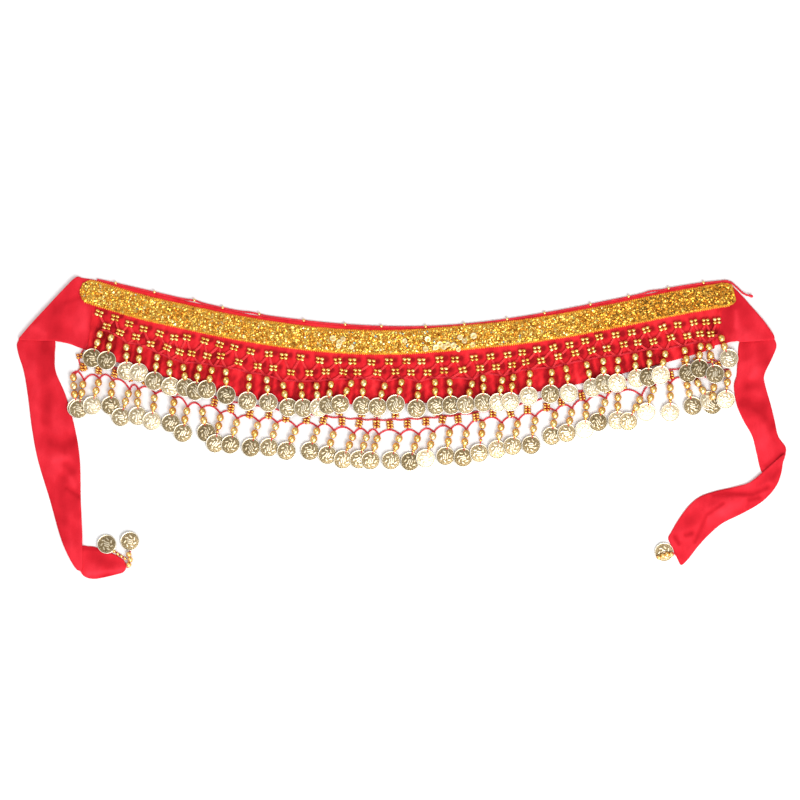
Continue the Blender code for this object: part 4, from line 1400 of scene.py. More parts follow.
@dataclass
class SequinTrim:
    """The sequin trim: a woven ribbon with stitched edges, crowded with small tilted sequins."""

    plan: BeltPlan
    left_end: float = -338.0
    right_end: float = 348.0
    low: float = 2.0
    thickness: float = 0.8
    ribbon_step: float = 3.0
    ribbon_edge: float = 0.6
    left_rounding: Pairs = ((0.0, 0.30), (3.0, 0.78), (7.0, 0.96), (12.0, 1.0))
    right_rounding: Pairs = ((0.0, 0.66), (2.0, 0.86), (6.0, 1.0))
    sequin_radius: float = 1.25
    sequin_pitch: float = 1.72
    sequin_sizes: Pair = (0.7, 1.15)
    sequin_rises: Pair = (0.1, 0.9)
    sequin_shift: float = 0.7
    sequin_tilt: float = 0.42
    first_sequin: float = 1.5
    edge_room: float = 1.3
    rows: int = 12
    tone_spread: float = 2.2
    brightest: float = 0.94
    green_share: float = 0.006
    rightward_darkening: float = 0.26
    darkening_from: float = 150.0
    darkening_over: float = 130.0
    stitch_pitch: float = 2.1
    first_stitch: float = 7.0
    stitch_room: float = 12.0
    stitch_inset: float = 0.2
    stitch_slant: Pair = (0.75, 0.0)
    stitch_lengths: Pair = (1.25, 1.7)
    stitch_section: Pair = (0.55, 0.5)
    foil_radius: float = 3.3
    foil_sizes: Pair = (0.8, 1.05)
    foil_lift: float = 1.35
    foil_tilt: float = 0.22
    foil_bearing: float = 6.28
    foil_sides: int = 18
    foil_places: Pairs = (
        (-70.5, 94.2), (-64.5, 86.2), (-63.4, 89.9), (-59.6, 93.4), (-50.9, 85.2), (4.8, 91.2),
        (29.0, 93.2), (27.0, 83.2), (37.6, 84.8), (41.8, 88.2), (46.1, 85.4), (50.3, 88.0),
        (56.1, 86.7), (61.1, 82.4), (63.0, 95.2), (67.6, 91.4), (76.2, 87.4), (77.2, 96.9),
    )

    def width_share(self, along: Array) -> Array:
        """How wide the trim is, from its rounded ends to its full width.

        Args:
            along: Distances along.

        Returns:
            Shares of the full width.
        """
        left = np.array(self.left_rounding)
        right = np.array(self.right_rounding)
        near_left = np.interp(along - self.left_end, left[:, 0], left[:, 1])
        near_right = np.interp(self.right_end - along, right[:, 0], right[:, 1])
        return np.minimum(near_left, near_right)

    def ribbon(self) -> Patch:
        """The ribbon itself, with a slightly raised middle.

        Returns:
            The ribbon as a closed sheet.
        """
        whole = self.plan.trim_width
        along = (self.left_end + edge_spaced(self.right_end - self.left_end, self.ribbon_step))[:, None]
        share = (edge_spaced(whole, self.ribbon_step) / whole)[None]
        side = (2 * share - 1) * self.width_share(along)
        places = self.plan.point(along, self.plan.depth("trim_shift", along) + side * whole / 2)
        edge = turned_edge(whole * np.minimum(share, 1 - share), self.ribbon_edge)
        ends = turned_edge(np.minimum(along - self.left_end, self.right_end - along), self.ribbon_edge)
        full = edge * ends
        over = flat_point(places, self.low + self.thickness * (0.5 + 0.5 * full))
        under = flat_point(places, self.low + self.thickness * (0.5 - 0.5 * full))
        return closed_sheet(over, under, np.full(places.shape[:2], 0.5))

    def sequins(self) -> Patch:
        """Small six-sided cups in uneven rows, each tilted its own way, and deeper in tone at the right.

        Returns:
            All the small sequins.
        """
        random = default_rng(7)
        count = int((self.right_end - self.left_end - 2) / self.sequin_pitch)
        grid = np.meshgrid(np.arange(count), np.arange(self.rows), indexing="ij")
        index, row = (part.ravel() for part in grid)
        shift = random.uniform(-self.sequin_shift, self.sequin_shift, (2, len(index)))
        along = self.left_end + self.first_sequin + (index + 0.5 * (row % 2)) * self.sequin_pitch + shift[0]
        half = self.plan.trim_width / 2 * self.width_share(along) - self.edge_room
        side = (row + 0.5) / self.rows * 2 - 1
        depth = self.plan.depth("trim_shift", along) + side * half + shift[1]
        rise = random.uniform(*self.sequin_rises, len(index))
        places = flat_point(self.plan.point(along, depth), self.low + self.thickness + rise)
        axes = tilted_axes(
            random.uniform(0, math.pi, len(index)),
            np.abs(random.normal(0.0, self.sequin_tilt, len(index))).clip(0, 1.0),
            random.uniform(0, 2 * math.pi, len(index)),
        )
        sizes = np.repeat(self.sequin_radius * random.uniform(*self.sequin_sizes, (len(index), 1)), 3, 1)
        tones = random.beta(self.tone_spread, self.tone_spread, len(index)) * self.brightest
        tones = np.where(random.random(len(index)) < self.green_share, 1.0, tones)
        # The sequins are darker towards the right end of the trim.
        rightward = ease((along - self.darkening_from) / self.darkening_over)
        tones = np.maximum(tones - self.rightward_darkening * rightward, 0.0)
        return cup(6, 1.0, 0.14).repeated(places, axes, sizes, tones)

    def foils(self) -> Patch:
        """The larger pale sequins: round cups with a dimple.

        Returns:
            All the larger sequins.
        """
        random = default_rng(9)
        places = flat_point(np.array(self.foil_places), self.low + self.thickness + self.foil_lift)
        count = len(places)
        axes = tilted_axes(
            random.uniform(0, math.pi, count),
            random.uniform(0.0, self.foil_tilt, count),
            random.uniform(0, self.foil_bearing, count),
        )
        sizes = np.repeat(self.foil_radius * random.uniform(*self.foil_sizes, (count, 1)), 3, 1)
        heights, radii = [-0.12, 0.0, 0.02, -0.06, -0.10], [0.9, 1.0, 0.82, 0.45, 0.16]
        dish = turned(heights, radii, self.foil_sides)
        dish.points = dish.points[:, [1, 2, 0]]
        dish.tone = np.repeat([0.5, 0.8, 0.7, 0.3, 0.0], self.foil_sides)
        return dish.repeated(places, axes, sizes, random.uniform(0.3, 0.8, count))

    def stitches(self) -> Patch:
        """Slanting stitches over both edges of the ribbon.

        Returns:
            All the stitches.
        """
        random = default_rng(13)
        count = int((self.right_end - self.left_end - self.stitch_room) / self.stitch_pitch)
        along = np.tile(self.left_end + self.first_stitch + np.arange(count) * self.stitch_pitch, 2)
        side = np.repeat([-1.0, 1.0], count)
        half = self.plan.trim_width / 2 * self.width_share(along) - self.stitch_inset
        depth = self.plan.depth("trim_shift", along) + side * half
        places = flat_point(self.plan.point(along, depth), self.low + self.thickness * 0.75)
        ahead = self.plan.square(along) * side[:, None] + np.array(self.stitch_slant)
        ahead = unit(ahead + random.normal(0, 0.12, ahead.shape))
        grain = turned([-1.0, -0.7, 0.0, 0.7, 1.0], [0.3, 0.8, 1.0, 0.8, 0.3], 6)
        lengths = random.uniform(*self.stitch_lengths, 2 * count)
        sizes = np.stack([lengths, *(np.full(2 * count, size) for size in self.stitch_section)], -1)
        return grain.repeated(places, axes_of(ahead), sizes, random.uniform(0.3, 0.8, 2 * count))

    def build(self) -> Pieces:
        """The ribbon, its stitches, and both kinds of sequin.

        Returns:
            The trim's objects.
        """
        nodes = ["sequin_trim"]
        return [
            make_piece("trim_ribbon", [self.ribbon()], RIBBON, nodes),
            make_piece("trim_stitches", [self.stitches()], STITCHES, nodes),
            make_piece("trim_sequins", [self.sequins()], GLITTER, nodes, smooth=False),
            make_piece("trim_foils", [self.foils()], FOIL, nodes),
        ]


def cup(sides: int, radius: float, rise: float) -> Patch:
    """A thin flat cup: a rim, a raised middle above and a plain one below.

    Args:
        sides: How many points its rim has.
        radius: The rim's radius.
        rise: How far its middle stands above the rim.

    Returns:
        The closed cup.
    """
    angle = np.arange(sides) * 2 * math.pi / sides
    rim = np.stack([radius * np.cos(angle), radius * np.sin(angle), np.zeros(sides)], -1)
    points = np.concatenate([rim, [[0.0, 0.0, rise], [0.0, 0.0, -0.04]]])
    first, second = np.arange(sides), (np.arange(sides) + 1) % sides
    upper = np.stack([first, second, np.full(sides, sides)], -1)
    lower = np.stack([second, first, np.full(sides, sides + 1)], -1)
    return Patch(points, [np.concatenate([upper, lower])], np.full(sides + 2, 0.5))


def bead(sides: int) -> Patch:
    """A round bead one in radius about its own X axis, with a dimple at each end where the thread goes in.

    Its tone carries painted light: a painted highlight on the crown and towards its +X end, and painted shade
    towards its sides: tone = 0.55 + 0.12 x + 0.42 (z - 0.6).

    Args:
        sides: How many points it has round its axis.

    Returns:
        The closed bead.
    """
    angles = np.radians([160.0, 138.0, 112.0, 90.0, 68.0, 42.0, 20.0])
    axial = [-0.80, *np.cos(angles), 0.80]
    radii = [0.16, *np.sin(angles), 0.16]
    made = turned(axial, radii, sides)
    # Painted highlight on the crown and the +X end, painted shade on the sides.
    made.tone = 0.55 + 0.12 * made.points[:, 0] + 0.42 * (made.points[:, 2] - 0.6)
    return made


def seed_bead(sides: int) -> Patch:
    """A small bead about its own X axis, one in radius and a little shorter than round.

    Its tone carries painted shade at its ends and sides and a painted highlight on its crown: tone = 0.68 -
    0.4 x^2 + 0.3 (z - 0.6).

    Args:
        sides: How many points it has round its axis.

    Returns:
        The closed bead.
    """
    end, shoulder = SEED_BEAD_HALF, 0.62
    made = turned([-end, -shoulder, 0.0, shoulder, end], [0.42, 0.80, 1.0, 0.80, 0.42], sides)
    # Painted shade at the ends and sides, painted highlight on the crown.
    made.tone = 0.68 - 0.4 * made.points[:, 0] ** 2 + 0.3 * (made.points[:, 2] - 0.6)
    return made


def knot(sides: int) -> Patch:
    """A lumpy knot of thread about its own X axis."""
    return turned([-1.0, -0.6, -0.15, 0.25, 0.65, 1.0], [0.35, 0.95, 0.72, 1.0, 0.75, 0.3], sides)


def clusters(
    centres: Array,
    ahead: Array,
    columns: int,
    rows: int,
    size: Sequence[float],
    seed: int,
    tone: float = 0.36,
) -> Patch:
    """Small beads in tight blocks, their holes across the block, each a little out of line.

    Args:
        centres: The middle of each block, shaped (blocks, 3).
        ahead: The way down each block on the plan, shaped (blocks, 2).
        columns: Beads across a block.
        rows: Beads down a block.
        size: Half a bead's length, and its radius.
        seed: What their unevenness is drawn from.
        tone: The middle of the beads' tones.

    Returns:
        All the beads.
    """
    random = default_rng(seed)
    blocks = len(centres)
    half, radius = size
    turn = random.normal(0, 0.10, blocks)
    x = ahead[:, 0] * np.cos(turn) - ahead[:, 1] * np.sin(turn)
    y = ahead[:, 0] * np.sin(turn) + ahead[:, 1] * np.cos(turn)
    ahead, side = np.stack([x, y], -1), np.stack([-y, x], -1)
    down = (np.arange(rows) - (rows - 1) / 2) * radius * 2.04
    over = (np.arange(columns) - (columns - 1) / 2) * half * 1.96
    down, over = down[None, :, None, None], over[None, None, :, None]
    offset = down * ahead[:, None, None] + over * side[:, None, None]
    places = centres[:, None, None] + flat_point(offset, 0.0)
    places = places.reshape(-1, 3) + random.normal(0, 0.05 * radius, (blocks * rows * columns, 3))
    level = np.repeat(side, rows * columns, 0)
    tones = random.normal(tone, 0.12, len(places))
    sizes = np.array([half / SEED_BEAD_HALF, radius, radius]) * random.uniform(0.92, 1.06, (len(places), 1))
    return seed_bead(10).repeated(places, axes_of(level), sizes, tones)


def spot(distance: Array, reach: float, soft: float) -> Array:
    """1 within a reach of something, falling softly to 0: ease((reach + soft - d) / soft)."""
    return ease((reach + soft - distance) / soft)


@dataclass
class Coin:
    """A thin pressed coin: a raised rim, a ring of dots, and short strokes round three long ones."""

    radius: float = 10.0
    thickness: float = 0.9
    relief: float = 0.16
    dome: float = 0.42
    sides: int = 60
    dots: int = 20
    dot_ring: float = 0.79
    short_strokes: int = 7
    short_ring: float = 0.53
    short_half: float = 0.12
    long_strokes: tuple[tuple[float, float, float, float], ...] = (
        (-0.26, -0.20, -0.12, 0.22),
        (-0.06, -0.27, 0.08, 0.27),
        (0.15, -0.20, 0.27, 0.18),
    )
    rings: tuple[float, ...] = (
        0.85, 0.82, 0.79, 0.76, 0.72, 0.67, 0.62, 0.58, 0.54, 0.50, 0.46, 0.41, 0.36, 0.31, 0.26, 0.21, 0.16,
        0.11, 0.05,
    )

    def raised(self, r: Array, angle: Array) -> Array:
        """How much its pattern stands up, from 0 to 1: near a dot's middle or a stroke's middle line.

        Args:
            r: Shares of the radius.
            angle: Angles round it.

        Returns:
            1 on the pattern and 0 on the plain field.
        """
        period = 2 * math.pi / self.dots
        off = (angle + period / 2) % period - period / 2
        found = 0.5 * spot(self.radius * np.hypot(r - self.dot_ring, r * off), 0.2, 0.4)
        bearing = np.arange(self.short_strokes) * 2 * math.pi / self.short_strokes + 0.3
        middle = self.short_ring * np.stack([np.cos(bearing), np.sin(bearing)], -1)
        run = self.short_half * np.stack([np.cos(bearing + 0.9), np.sin(bearing + 0.9)], -1)
        strokes = np.concatenate([np.concatenate([middle - run, middle + run], -1), self.long_strokes])
        place = np.stack([r * np.cos(angle), r * np.sin(angle)], -1)
        for stroke in strokes:
            start, whole = stroke[:2], stroke[2:] - stroke[:2]
            share = np.clip((place - start) @ whole / (whole @ whole), 0, 1)[..., None]
            gap = self.radius * np.linalg.norm(place - start - share * whole, axis=-1)
            found = np.maximum(found, spot(gap, 0.26, 0.55))
        return found

    def patch(self) -> Patch:
        """The coin about its own middle, face up. Its field swells by dome (1 - r^2) under its pattern.

        Returns:
            The coin, with its tone high on what stands up: a painted highlight on the rim and the pattern.
        """
        angle = np.arange(self.sides) * 2 * math.pi / self.sides
        r = np.array(self.rings)[:, None]
        raised = self.raised(r + 0 * angle, angle + 0 * r)
        back = ((0.5, 0.0, 0.4), (0.97, 0.0, 0.4), (1.0, 0.15, 0.5))
        rim = ((1.0, 0.75, 0.7), (0.975, 1.0, 1.0), (0.935, 1.0, 1.0), (0.905, 0.62, 0.2))
        plain = np.array(back + rim)
        radii = np.concatenate([plain[:, :1], r]) * self.radius + 0 * angle
        field_height = 0.52 * self.thickness + self.dome * (1 - r**2) + self.relief * raised
        heights = np.concatenate([plain[:, 1:2] * self.thickness + 0 * angle, field_height])
        # Painted highlight on the rim and the raised pattern, over a darker plain field.
        tone = np.concatenate([plain[:, 2:] + 0 * angle, 0.22 + 0.62 * raised])
        rings = np.stack([radii * np.cos(angle), radii * np.sin(angle), heights - self.thickness / 2], -1)
        return Patch(rings.reshape(-1, 3), ring_faces(len(rings), self.sides), tone.ravel())


@dataclass
class StrandRow:
    """A crochet chain and its strands: large beads, a small bead where there is room, and a coin on each."""

    plan: BeltPlan
    name: str
    places: tuple[tuple[float, float, float, float], ...]
    bright: tuple[int, ...]
    dull: tuple[int, ...]
    arch: float
    lower: bool
    coin: Coin = field(default_factory=Coin)
    bead_radius: float = 3.85
    bead_length: float = 1.12
    bead_spacing: float = 8.8
    coin_lift: float = 0.95
    coin_height: float = 5.1
    roll_degrees: float = 7.0
    roll_spread: float = 1.5
    coin_nod: float = 0.02
    nod_spread: float = 0.025
    bright_nod: float = 0.06
    painted_highlight_tone: float = 0.22
    dull_nod: float = 0.05
    painted_shade_tone: float = 0.08
    small_bead: Triple = (1.9, 1.75, 1.75)
    small_bead_room: float = 1.6
    small_bead_tone: float = 0.3
    cord_radius: float = 0.6
    root_knot: Triple = (1.7, 1.8, 1.1)
    coin_knot: Triple = (1.5, 1.2, 1.1)
    loop_middle: float = 0.9
    loop_reach: float = 1.5
    loop_rise: float = 1.35
    loop_thread: float = 0.42
    seed: int = 11
    arch_points: int = 26

    def __post_init__(self) -> None:
        """Works out each strand's root, direction and heights."""
        self.count = len(self.places)
        self.root, self.coin_middle, self.ahead = strand_places(self.places)
        self.length = np.linalg.norm(self.coin_middle - self.root, axis=1)
        along, depth = self.plan.locate(self.root)
        lying = 0.0 if self.lower else self.plan.crest(along, self.plan.depth("hem", along))
        self.bead_z = lying + FLOOR_GAP + self.bead_radius + 0 * along
        lying = 0.0 if self.lower else self.plan.crest(along, depth)
        self.root_z = FLOOR_GAP + THREAD_RISE + lying + 0 * along
        self.beads = np.where((np.arange(self.count) == 0) & self.lower, 3, 2)

    def on_strand(self, distance: Array, height: Array) -> Array:
        """Points at a distance down each strand and a height."""
        return flat_point(self.root + self.ahead * distance[:, None], height)

    def bead_patch(self) -> Patch:
        """The large beads, each a little out of line.

        Returns:
            All the large beads.
        """
        random = default_rng(self.seed + 2 * self.count)
        picked = [(order, np.flatnonzero(self.beads > order)) for order in range(3)]
        which = np.concatenate([strands for _, strands in picked])
        order = np.concatenate([np.full(len(strands), order) for order, strands in picked])
        distance = ROOT_TO_BEAD + order * self.bead_spacing
        side = np.stack([-self.ahead[which, 1], self.ahead[which, 0]], -1)
        middle = self.root[which] + self.ahead[which] * distance[:, None]
        places = flat_point(middle, self.bead_z[which])
        places[:, :2] += side * random.normal(0, 0.3, (len(which), 1))
        axes = axes_of(unit(self.ahead[which] + random.normal(0, 0.12, (len(which), 2))))
        sizes = self.bead_radius * np.array([[self.bead_length, 1.0, 1.0]])
        return bead(14).repeated(places, axes, sizes, random.normal(0.5, 0.08, len(which)))

    def coin_places(self) -> tuple[Array, Array, Array]:
        """Where the coins lie and how they tip.

        Each right coin lies over its left neighbour, and stands higher where the two are close. The bright
        ones tip towards the key light.

        Returns:
            The middles, and the roll and nod slopes.
        """
        random = default_rng(self.seed + 3 * self.count)
        spread = random.uniform(-self.roll_spread, self.roll_spread, self.count)
        roll = np.tan(np.radians(self.roll_degrees + spread))
        nod = random.normal(self.coin_nod, self.nod_spread, self.count)
        nod[list(self.bright)] += self.bright_nod
        nod[list(self.dull)] -= self.dull_nod
        lift = np.zeros(self.count)
        for right in range(1, self.count):
            gap = np.linalg.norm(self.coin_middle[right] - self.coin_middle[right - 1])
            lift[right] = max(0.0, lift[right - 1] + self.coin_lift - roll[right] * gap)
        if self.lower:
            height = FLOOR_GAP + self.coin.thickness / 2 + self.coin.radius * np.hypot(roll, nod)
        else:
            height = self.coin_height + 0 * roll
        return flat_point(self.coin_middle, height + lift), roll, nod

    def coin_patch(self) -> Patch:
        """The coins, each turned its own way about its middle.

        Returns:
            All the coins.
        """
        random = default_rng(self.seed + 4 * self.count)
        places, roll, nod = self.coin_places()
        axes = axes_of(self.ahead, roll, nod)
        turn = random.uniform(0, 2 * math.pi, self.count)
        spin = np.zeros((self.count, 3, 3))
        spin[:, 0, 0], spin[:, 0, 1] = np.cos(turn), -np.sin(turn)
        spin[:, 1, 0], spin[:, 1, 1] = np.sin(turn), np.cos(turn)
        spin[:, 2, 2] = 1
        tones = random.normal(0.5, 0.05, self.count)
        # Painted highlight on the coins that catch the key light, painted shade on those turned from it.
        tones[list(self.bright)] += self.painted_highlight_tone
        tones[list(self.dull)] -= self.painted_shade_tone
        return self.coin.patch().repeated(places, axes @ spin, 1.0, tones)

    def cords(self) -> Array:
        """The short cord of each strand, from its last large bead to its coin's loop.

        Returns:
            Both ends of each, shaped (strands, 2, 3).
        """
        places, _, nod = self.coin_places()
        reach = self.coin.radius - 0.2
        held = self.on_strand(self.length - reach, places[:, 2] + reach * nod)
        last = ROOT_TO_BEAD + (self.beads - 1) * self.bead_spacing + self.bead_radius - self.cord_radius
        return np.stack([self.on_strand(last, self.bead_z - self.cord_radius), held], 1)

    def small_beads(self) -> Patch:
        """The small bead on each cord that is long enough to show one.

        Returns:
            All the small beads.
        """
        cords = self.cords()
        shown = np.linalg.norm(cords[:, 1, :2] - cords[:, 0, :2], axis=1) > self.small_bead_room
        places = cords[shown].mean(1) + 0.3 * UP
        axes = axes_of(self.ahead[shown])
        return seed_bead(10).repeated(places, axes, np.array(self.small_bead), self.small_bead_tone)

    def thread_patches(self) -> list[Patch]:
        """The chain, a knot where each strand leaves it, and the loop that holds each coin.

        Returns:
            The chain, the cords, the knots and the loops.
        """
        share = np.linspace(0, 1, self.arch_points)[None, :, None]
        roots = flat_point(self.root, self.root_z)
        rise = np.array([0.0, 4 * self.arch, 0.0]) * share * (1 - share)
        arches = roots[:-1, None] * (1 - share) + roots[1:, None] * share + rise
        cords = self.cords()
        held = cords[:, 1]
        knots = np.concatenate([self.on_strand(0 * self.length + 0.4, self.root_z + 0.3), cords.mean(1)])
        axes = np.concatenate([axes_of(self.ahead)] * 2)
        sizes = np.repeat([self.root_knot, self.coin_knot], self.count, 0)
        turn = np.linspace(0, 1.9 * math.pi, 15)[None, :, None]
        reach = self.loop_middle + self.loop_reach * np.cos(turn)
        loop = flat_point(held[:, None, :2] + self.ahead[:, None] * reach, 0.0)
        loop[..., 2] = held[:, None, 2] + self.loop_rise * np.sin(turn[..., 0]) - 0.3
        loop[..., 2] = np.maximum(loop[..., 2], 0.5)
        side = flat_point(np.stack([-self.ahead[:, 1], self.ahead[:, 0]], -1), 0.0)
        return [
            chain_stitch(arches, ply=0.45),
            tubes(cords, self.cord_radius, 6),
            knot(7).repeated(knots, axes, sizes, 0.55),
            tubes(loop, self.loop_thread, 6, side),
        ]

    def build(self) -> Pieces:
        """The threads, beads and coins of the row.

        Returns:
            The row's objects.
        """
        name, nodes = self.name + "_strand", [self.name + "_fringe"]
        beads = [self.bead_patch(), self.small_beads()]
        return [
            make_piece(name + "_threads", self.thread_patches(), CROCHET, nodes),
            make_piece(name + "_beads", beads, BEAD_GOLD, nodes),
            make_piece(name + "_coins", [self.coin_patch()], COIN_GOLD, nodes),
        ]


@dataclass
class BeadNet:
    """The crochet net over the gathers: diamonds of thread with a block of small beads at their corners."""

    plan: BeltPlan
    block_bead: Pair = (2.28, 1.82)
    thread_ply: float = 0.68
    thread_spread: float = 0.55
    thread_rise: float = 0.6
    arm_points: int = 22
    sag: float = 1.1

    def corners(self) -> tuple[Array, Array, Array]:
        """The diamonds' corners: at the upper beads, at the middle beads and at the strands' roots.

        Returns:
            The upper, side and lower corners, as (along, depth).
        """
        roots, _, _ = strand_places(UPPER_STRANDS)
        places = (from_photo(UPPER_BLOCKS), from_photo(MIDDLE_BLOCKS), roots)
        upper, side, lower = (np.stack(self.plan.locate(place), -1) for place in places)
        return upper, side, lower

    def arms(self, start: Array, end: Array) -> Array:
        """Threads between corners, which sag a little towards the hem: sag sin(pi t).

        Args:
            start: The first corners, as (along, depth).
            end: The last corners.

        Returns:
            The middles of the threads, shaped (threads, points, 3).
        """
        share = np.linspace(0, 1, self.arm_points)[None, :, None]
        way = start[:, None] * (1 - share) + end[:, None] * share
        along, depth = way[..., 0], way[..., 1] + self.sag * np.sin(math.pi * share[..., 0])
        height = self.plan.crest(along, depth) + FLOOR_GAP + self.thread_rise
        return flat_point(self.plan.point(along, depth), height)

    def build(self) -> Pieces:
        """The threads and the two rows of beads.

        Returns:
            The net's objects.
        """
        upper, side, lower = self.corners()
        starts = [upper[:-1], upper[1:], side, side]
        ends = [side, side, lower[:-1], lower[1:]]
        arms = np.concatenate([self.arms(start, end) for start, end in zip(starts, ends)])
        threads = chain_stitch(arms, ply=self.thread_ply, spread=self.thread_spread)
        beads = []
        for seed, corner in ((41, upper), (42, side)):
            along, depth = corner.T
            height = self.plan.crest(along, depth) + FLOOR_GAP + self.block_bead[1]
            centres = flat_point(self.plan.point(along, depth), height)
            beads.append(clusters(centres, self.plan.square(along), 2, 2, self.block_bead, seed))
        return [
            make_piece("net_threads", [threads], NET_THREAD, ["bead_net"]),
            make_piece("net_beads", beads, BEAD_GOLD, ["bead_net"]),
        ]


@dataclass
class LowerNet:
    """The open net below the hem: threads down to a wavy chain, and small beads above and below it."""

    plan: BeltPlan
    rise: float = 21.6
    low_step: float = 0.75
    wave: float = 1.2
    post_bead: Pair = (1.92, 1.42)
    block_tone: float = 0.2
    block_bead: Pair = (2.0, 1.35)
    block_above: float = 4.6
    bead_lift: float = 1.6
    end_bead_lift: float = 1.8
    hem_overlap: float = 1.0
    post_below: float = 6.0
    post_half: float = 5.3
    post_points: int = 14
    ruled_room: float = 12.0
    drop_points: int = 34
    chain_step: float = 0.6

    def chain_depth(self, along: Array) -> Array:
        """The chain's depth: highest between threads, and a wave lower at each.

        Args:
            along: Distances along.

        Returns:
            Depths.
        """
        phase = 2 * math.pi * (along - self.plan.first_column) / self.plan.column_pitch
        wave = self.wave * (0.5 + 0.5 * np.cos(phase))
        return self.plan.depth("lower_row", along) - self.rise + self.low_step + wave

    def post_middles(self) -> Array:
        """Middles of the posts of beads: where they show in the photo, and at an even step beside those.

        Returns:
            X and Y of each, shaped (posts, 2).
        """
        half = self.plan.column(np.arange(self.plan.columns) - 0.5)
        ruled = self.plan.point(half, self.chain_depth(half) + self.post_below)
        seen = from_photo(POST_BLOCKS)
        left, right = seen[0, 0] - self.ruled_room, seen[-1, 0] + self.ruled_room
        return np.concatenate([ruled[(ruled[:, 0] < left) | (ruled[:, 0] > right)], seen])

    def build(self) -> Pieces:
        """The threads, and the beads.

        Returns:
            The net's objects.
        """
        plan = self.plan
        low = FLOOR_GAP + THREAD_RISE
        first, last = plan.column(-0.5), plan.column(plan.columns - 1.5)
        along = np.arange(first, last, self.chain_step)
        chain = flat_point(plan.point(along, self.chain_depth(along)), low)
        _, coins, _ = strand_places(UPPER_STRANDS)
        whole, _ = plan.locate(coins)
        start, end = plan.depth("hem", whole) - self.hem_overlap, self.chain_depth(whole)
        share = np.linspace(0, 1, self.drop_points)[None]
        depth = start[:, None] * (1 - share) + end[:, None] * share
        drops = flat_point(plan.point(whole[:, None] + 0 * share, depth), low)
        middles = self.post_middles()
        square = plan.square(plan.locate(middles)[0])
        share = np.linspace(-self.post_half, self.post_half, self.post_points)[None, :, None]
        posts = flat_point(middles[:, None] + square[:, None] * share, low)
        middles = flat_point(middles, FLOOR_GAP + self.bead_lift)
        above = flat_point(plan.point(whole, end - self.block_above), FLOOR_GAP + self.bead_lift)
        end_blocks = flat_point(from_photo(LEFT_END_BLOCKS), FLOOR_GAP + self.end_bead_lift)
        end_ahead = np.tile([0.25, -1.0], (len(end_blocks), 1))
        beads = [
            clusters(middles, square, 2, 3, self.post_bead, 43, self.block_tone),
            clusters(above, plan.square(whole), 2, 2, self.block_bead, 44, self.block_tone),
            clusters(end_blocks, end_ahead, 2, 2, self.post_bead, 45, self.block_tone),
        ]
        left_end = even_path(flat_point(from_photo(LEFT_END_THREAD), low), self.chain_step)
        threads = [chain_stitch(way[None]) for way in (chain, left_end)]
        threads += [chain_stitch(drops, ply=0.34, spread=0.3), tubes(posts, 0.6, 6)]
        return [
            make_piece("lower_net_threads", threads, CROCHET, ["lower_net"]),
            make_piece("lower_net_beads", beads, BEAD_GOLD, ["lower_net"]),
        ]


@dataclass
class TopEdging:
    """The crochet cord along the top edge, with its loose tail and a small bead every so often."""

    plan: BeltPlan
    radius: float = 1.25
    ends: Pair = (-324.0, 343.0)
    tail: Pairs = (
        (348.5, 152.0), (354.5, 146.5), (359.5, 141.6), (363.5, 139.6), (368.0, 138.6),
    )
    tail_heights: Pair = (2.4, 3.2)
    cord_lift: float = 1.2
    cord_points: int = 240
    path_step: float = 0.6
    tie_off_size: Triple = (2.6, 1.8, 1.6)
    slack_depth: float = 1.1
    slack_places: Pairs = ((-222.0, 8.0), (-160.0, 9.0), (265.0, 7.0))
    bead_size: float = 1.7
    bead_lift: float = 2.6
    bead_rise: float = 0.5
    bead_places: tuple[float, ...] = (
        -304.5, -263.6, -221.6, -191.1, -152.3, -105.0, -60.9, -22.1, 25.2, 66.7, 112.4, 152.3,
        201.1, 241.5, 283.5, 319.7,
    )

    def depth(self, along: Array) -> Array:
        """The cord's depth, which bows away from the cloth where it is slack."""
        slack = sum(np.exp(-(((along - place) / width) ** 2)) for place, width in self.slack_places)
        return -self.plan.depth("top", along) + self.radius - self.slack_depth * slack

    def build(self) -> Pieces:
        """The cord and its beads.

        Returns:
            The edging's objects.
        """
        along = np.linspace(*self.ends, self.cord_points)
        places = np.concatenate([self.plan.point(along, self.depth(along)), np.array(self.tail)])
        tail = np.linspace(*self.tail_heights, len(self.tail))
        heights = np.concatenate([np.full(len(along), FLOOR_GAP + self.cord_lift), tail])
        path = even_path(flat_point(places, heights), self.path_step)
        cord = chain_stitch(path[None], stitch=2.8, ply=0.62)
        tie_off = knot(8).repeated(path[-1:], axes_of(np.array([[1.0, -0.4]])), np.array([self.tie_off_size]))
        at = np.array(self.bead_places)
        middles = self.plan.point(at, self.depth(at) - self.bead_rise)
        centres = flat_point(middles, FLOOR_GAP + self.bead_lift)
        slope = unit(self.plan.point(at + 1, self.depth(at)) - self.plan.point(at - 1, self.depth(at)))
        beads = seed_bead(10).repeated(centres, axes_of(slope), self.bead_size)
        return [
            make_piece("edging_cord", [cord, tie_off], CROCHET, ["top_edging"]),
            make_piece("edging_beads", [beads], BEAD_GOLD, ["top_edging"]),
        ]


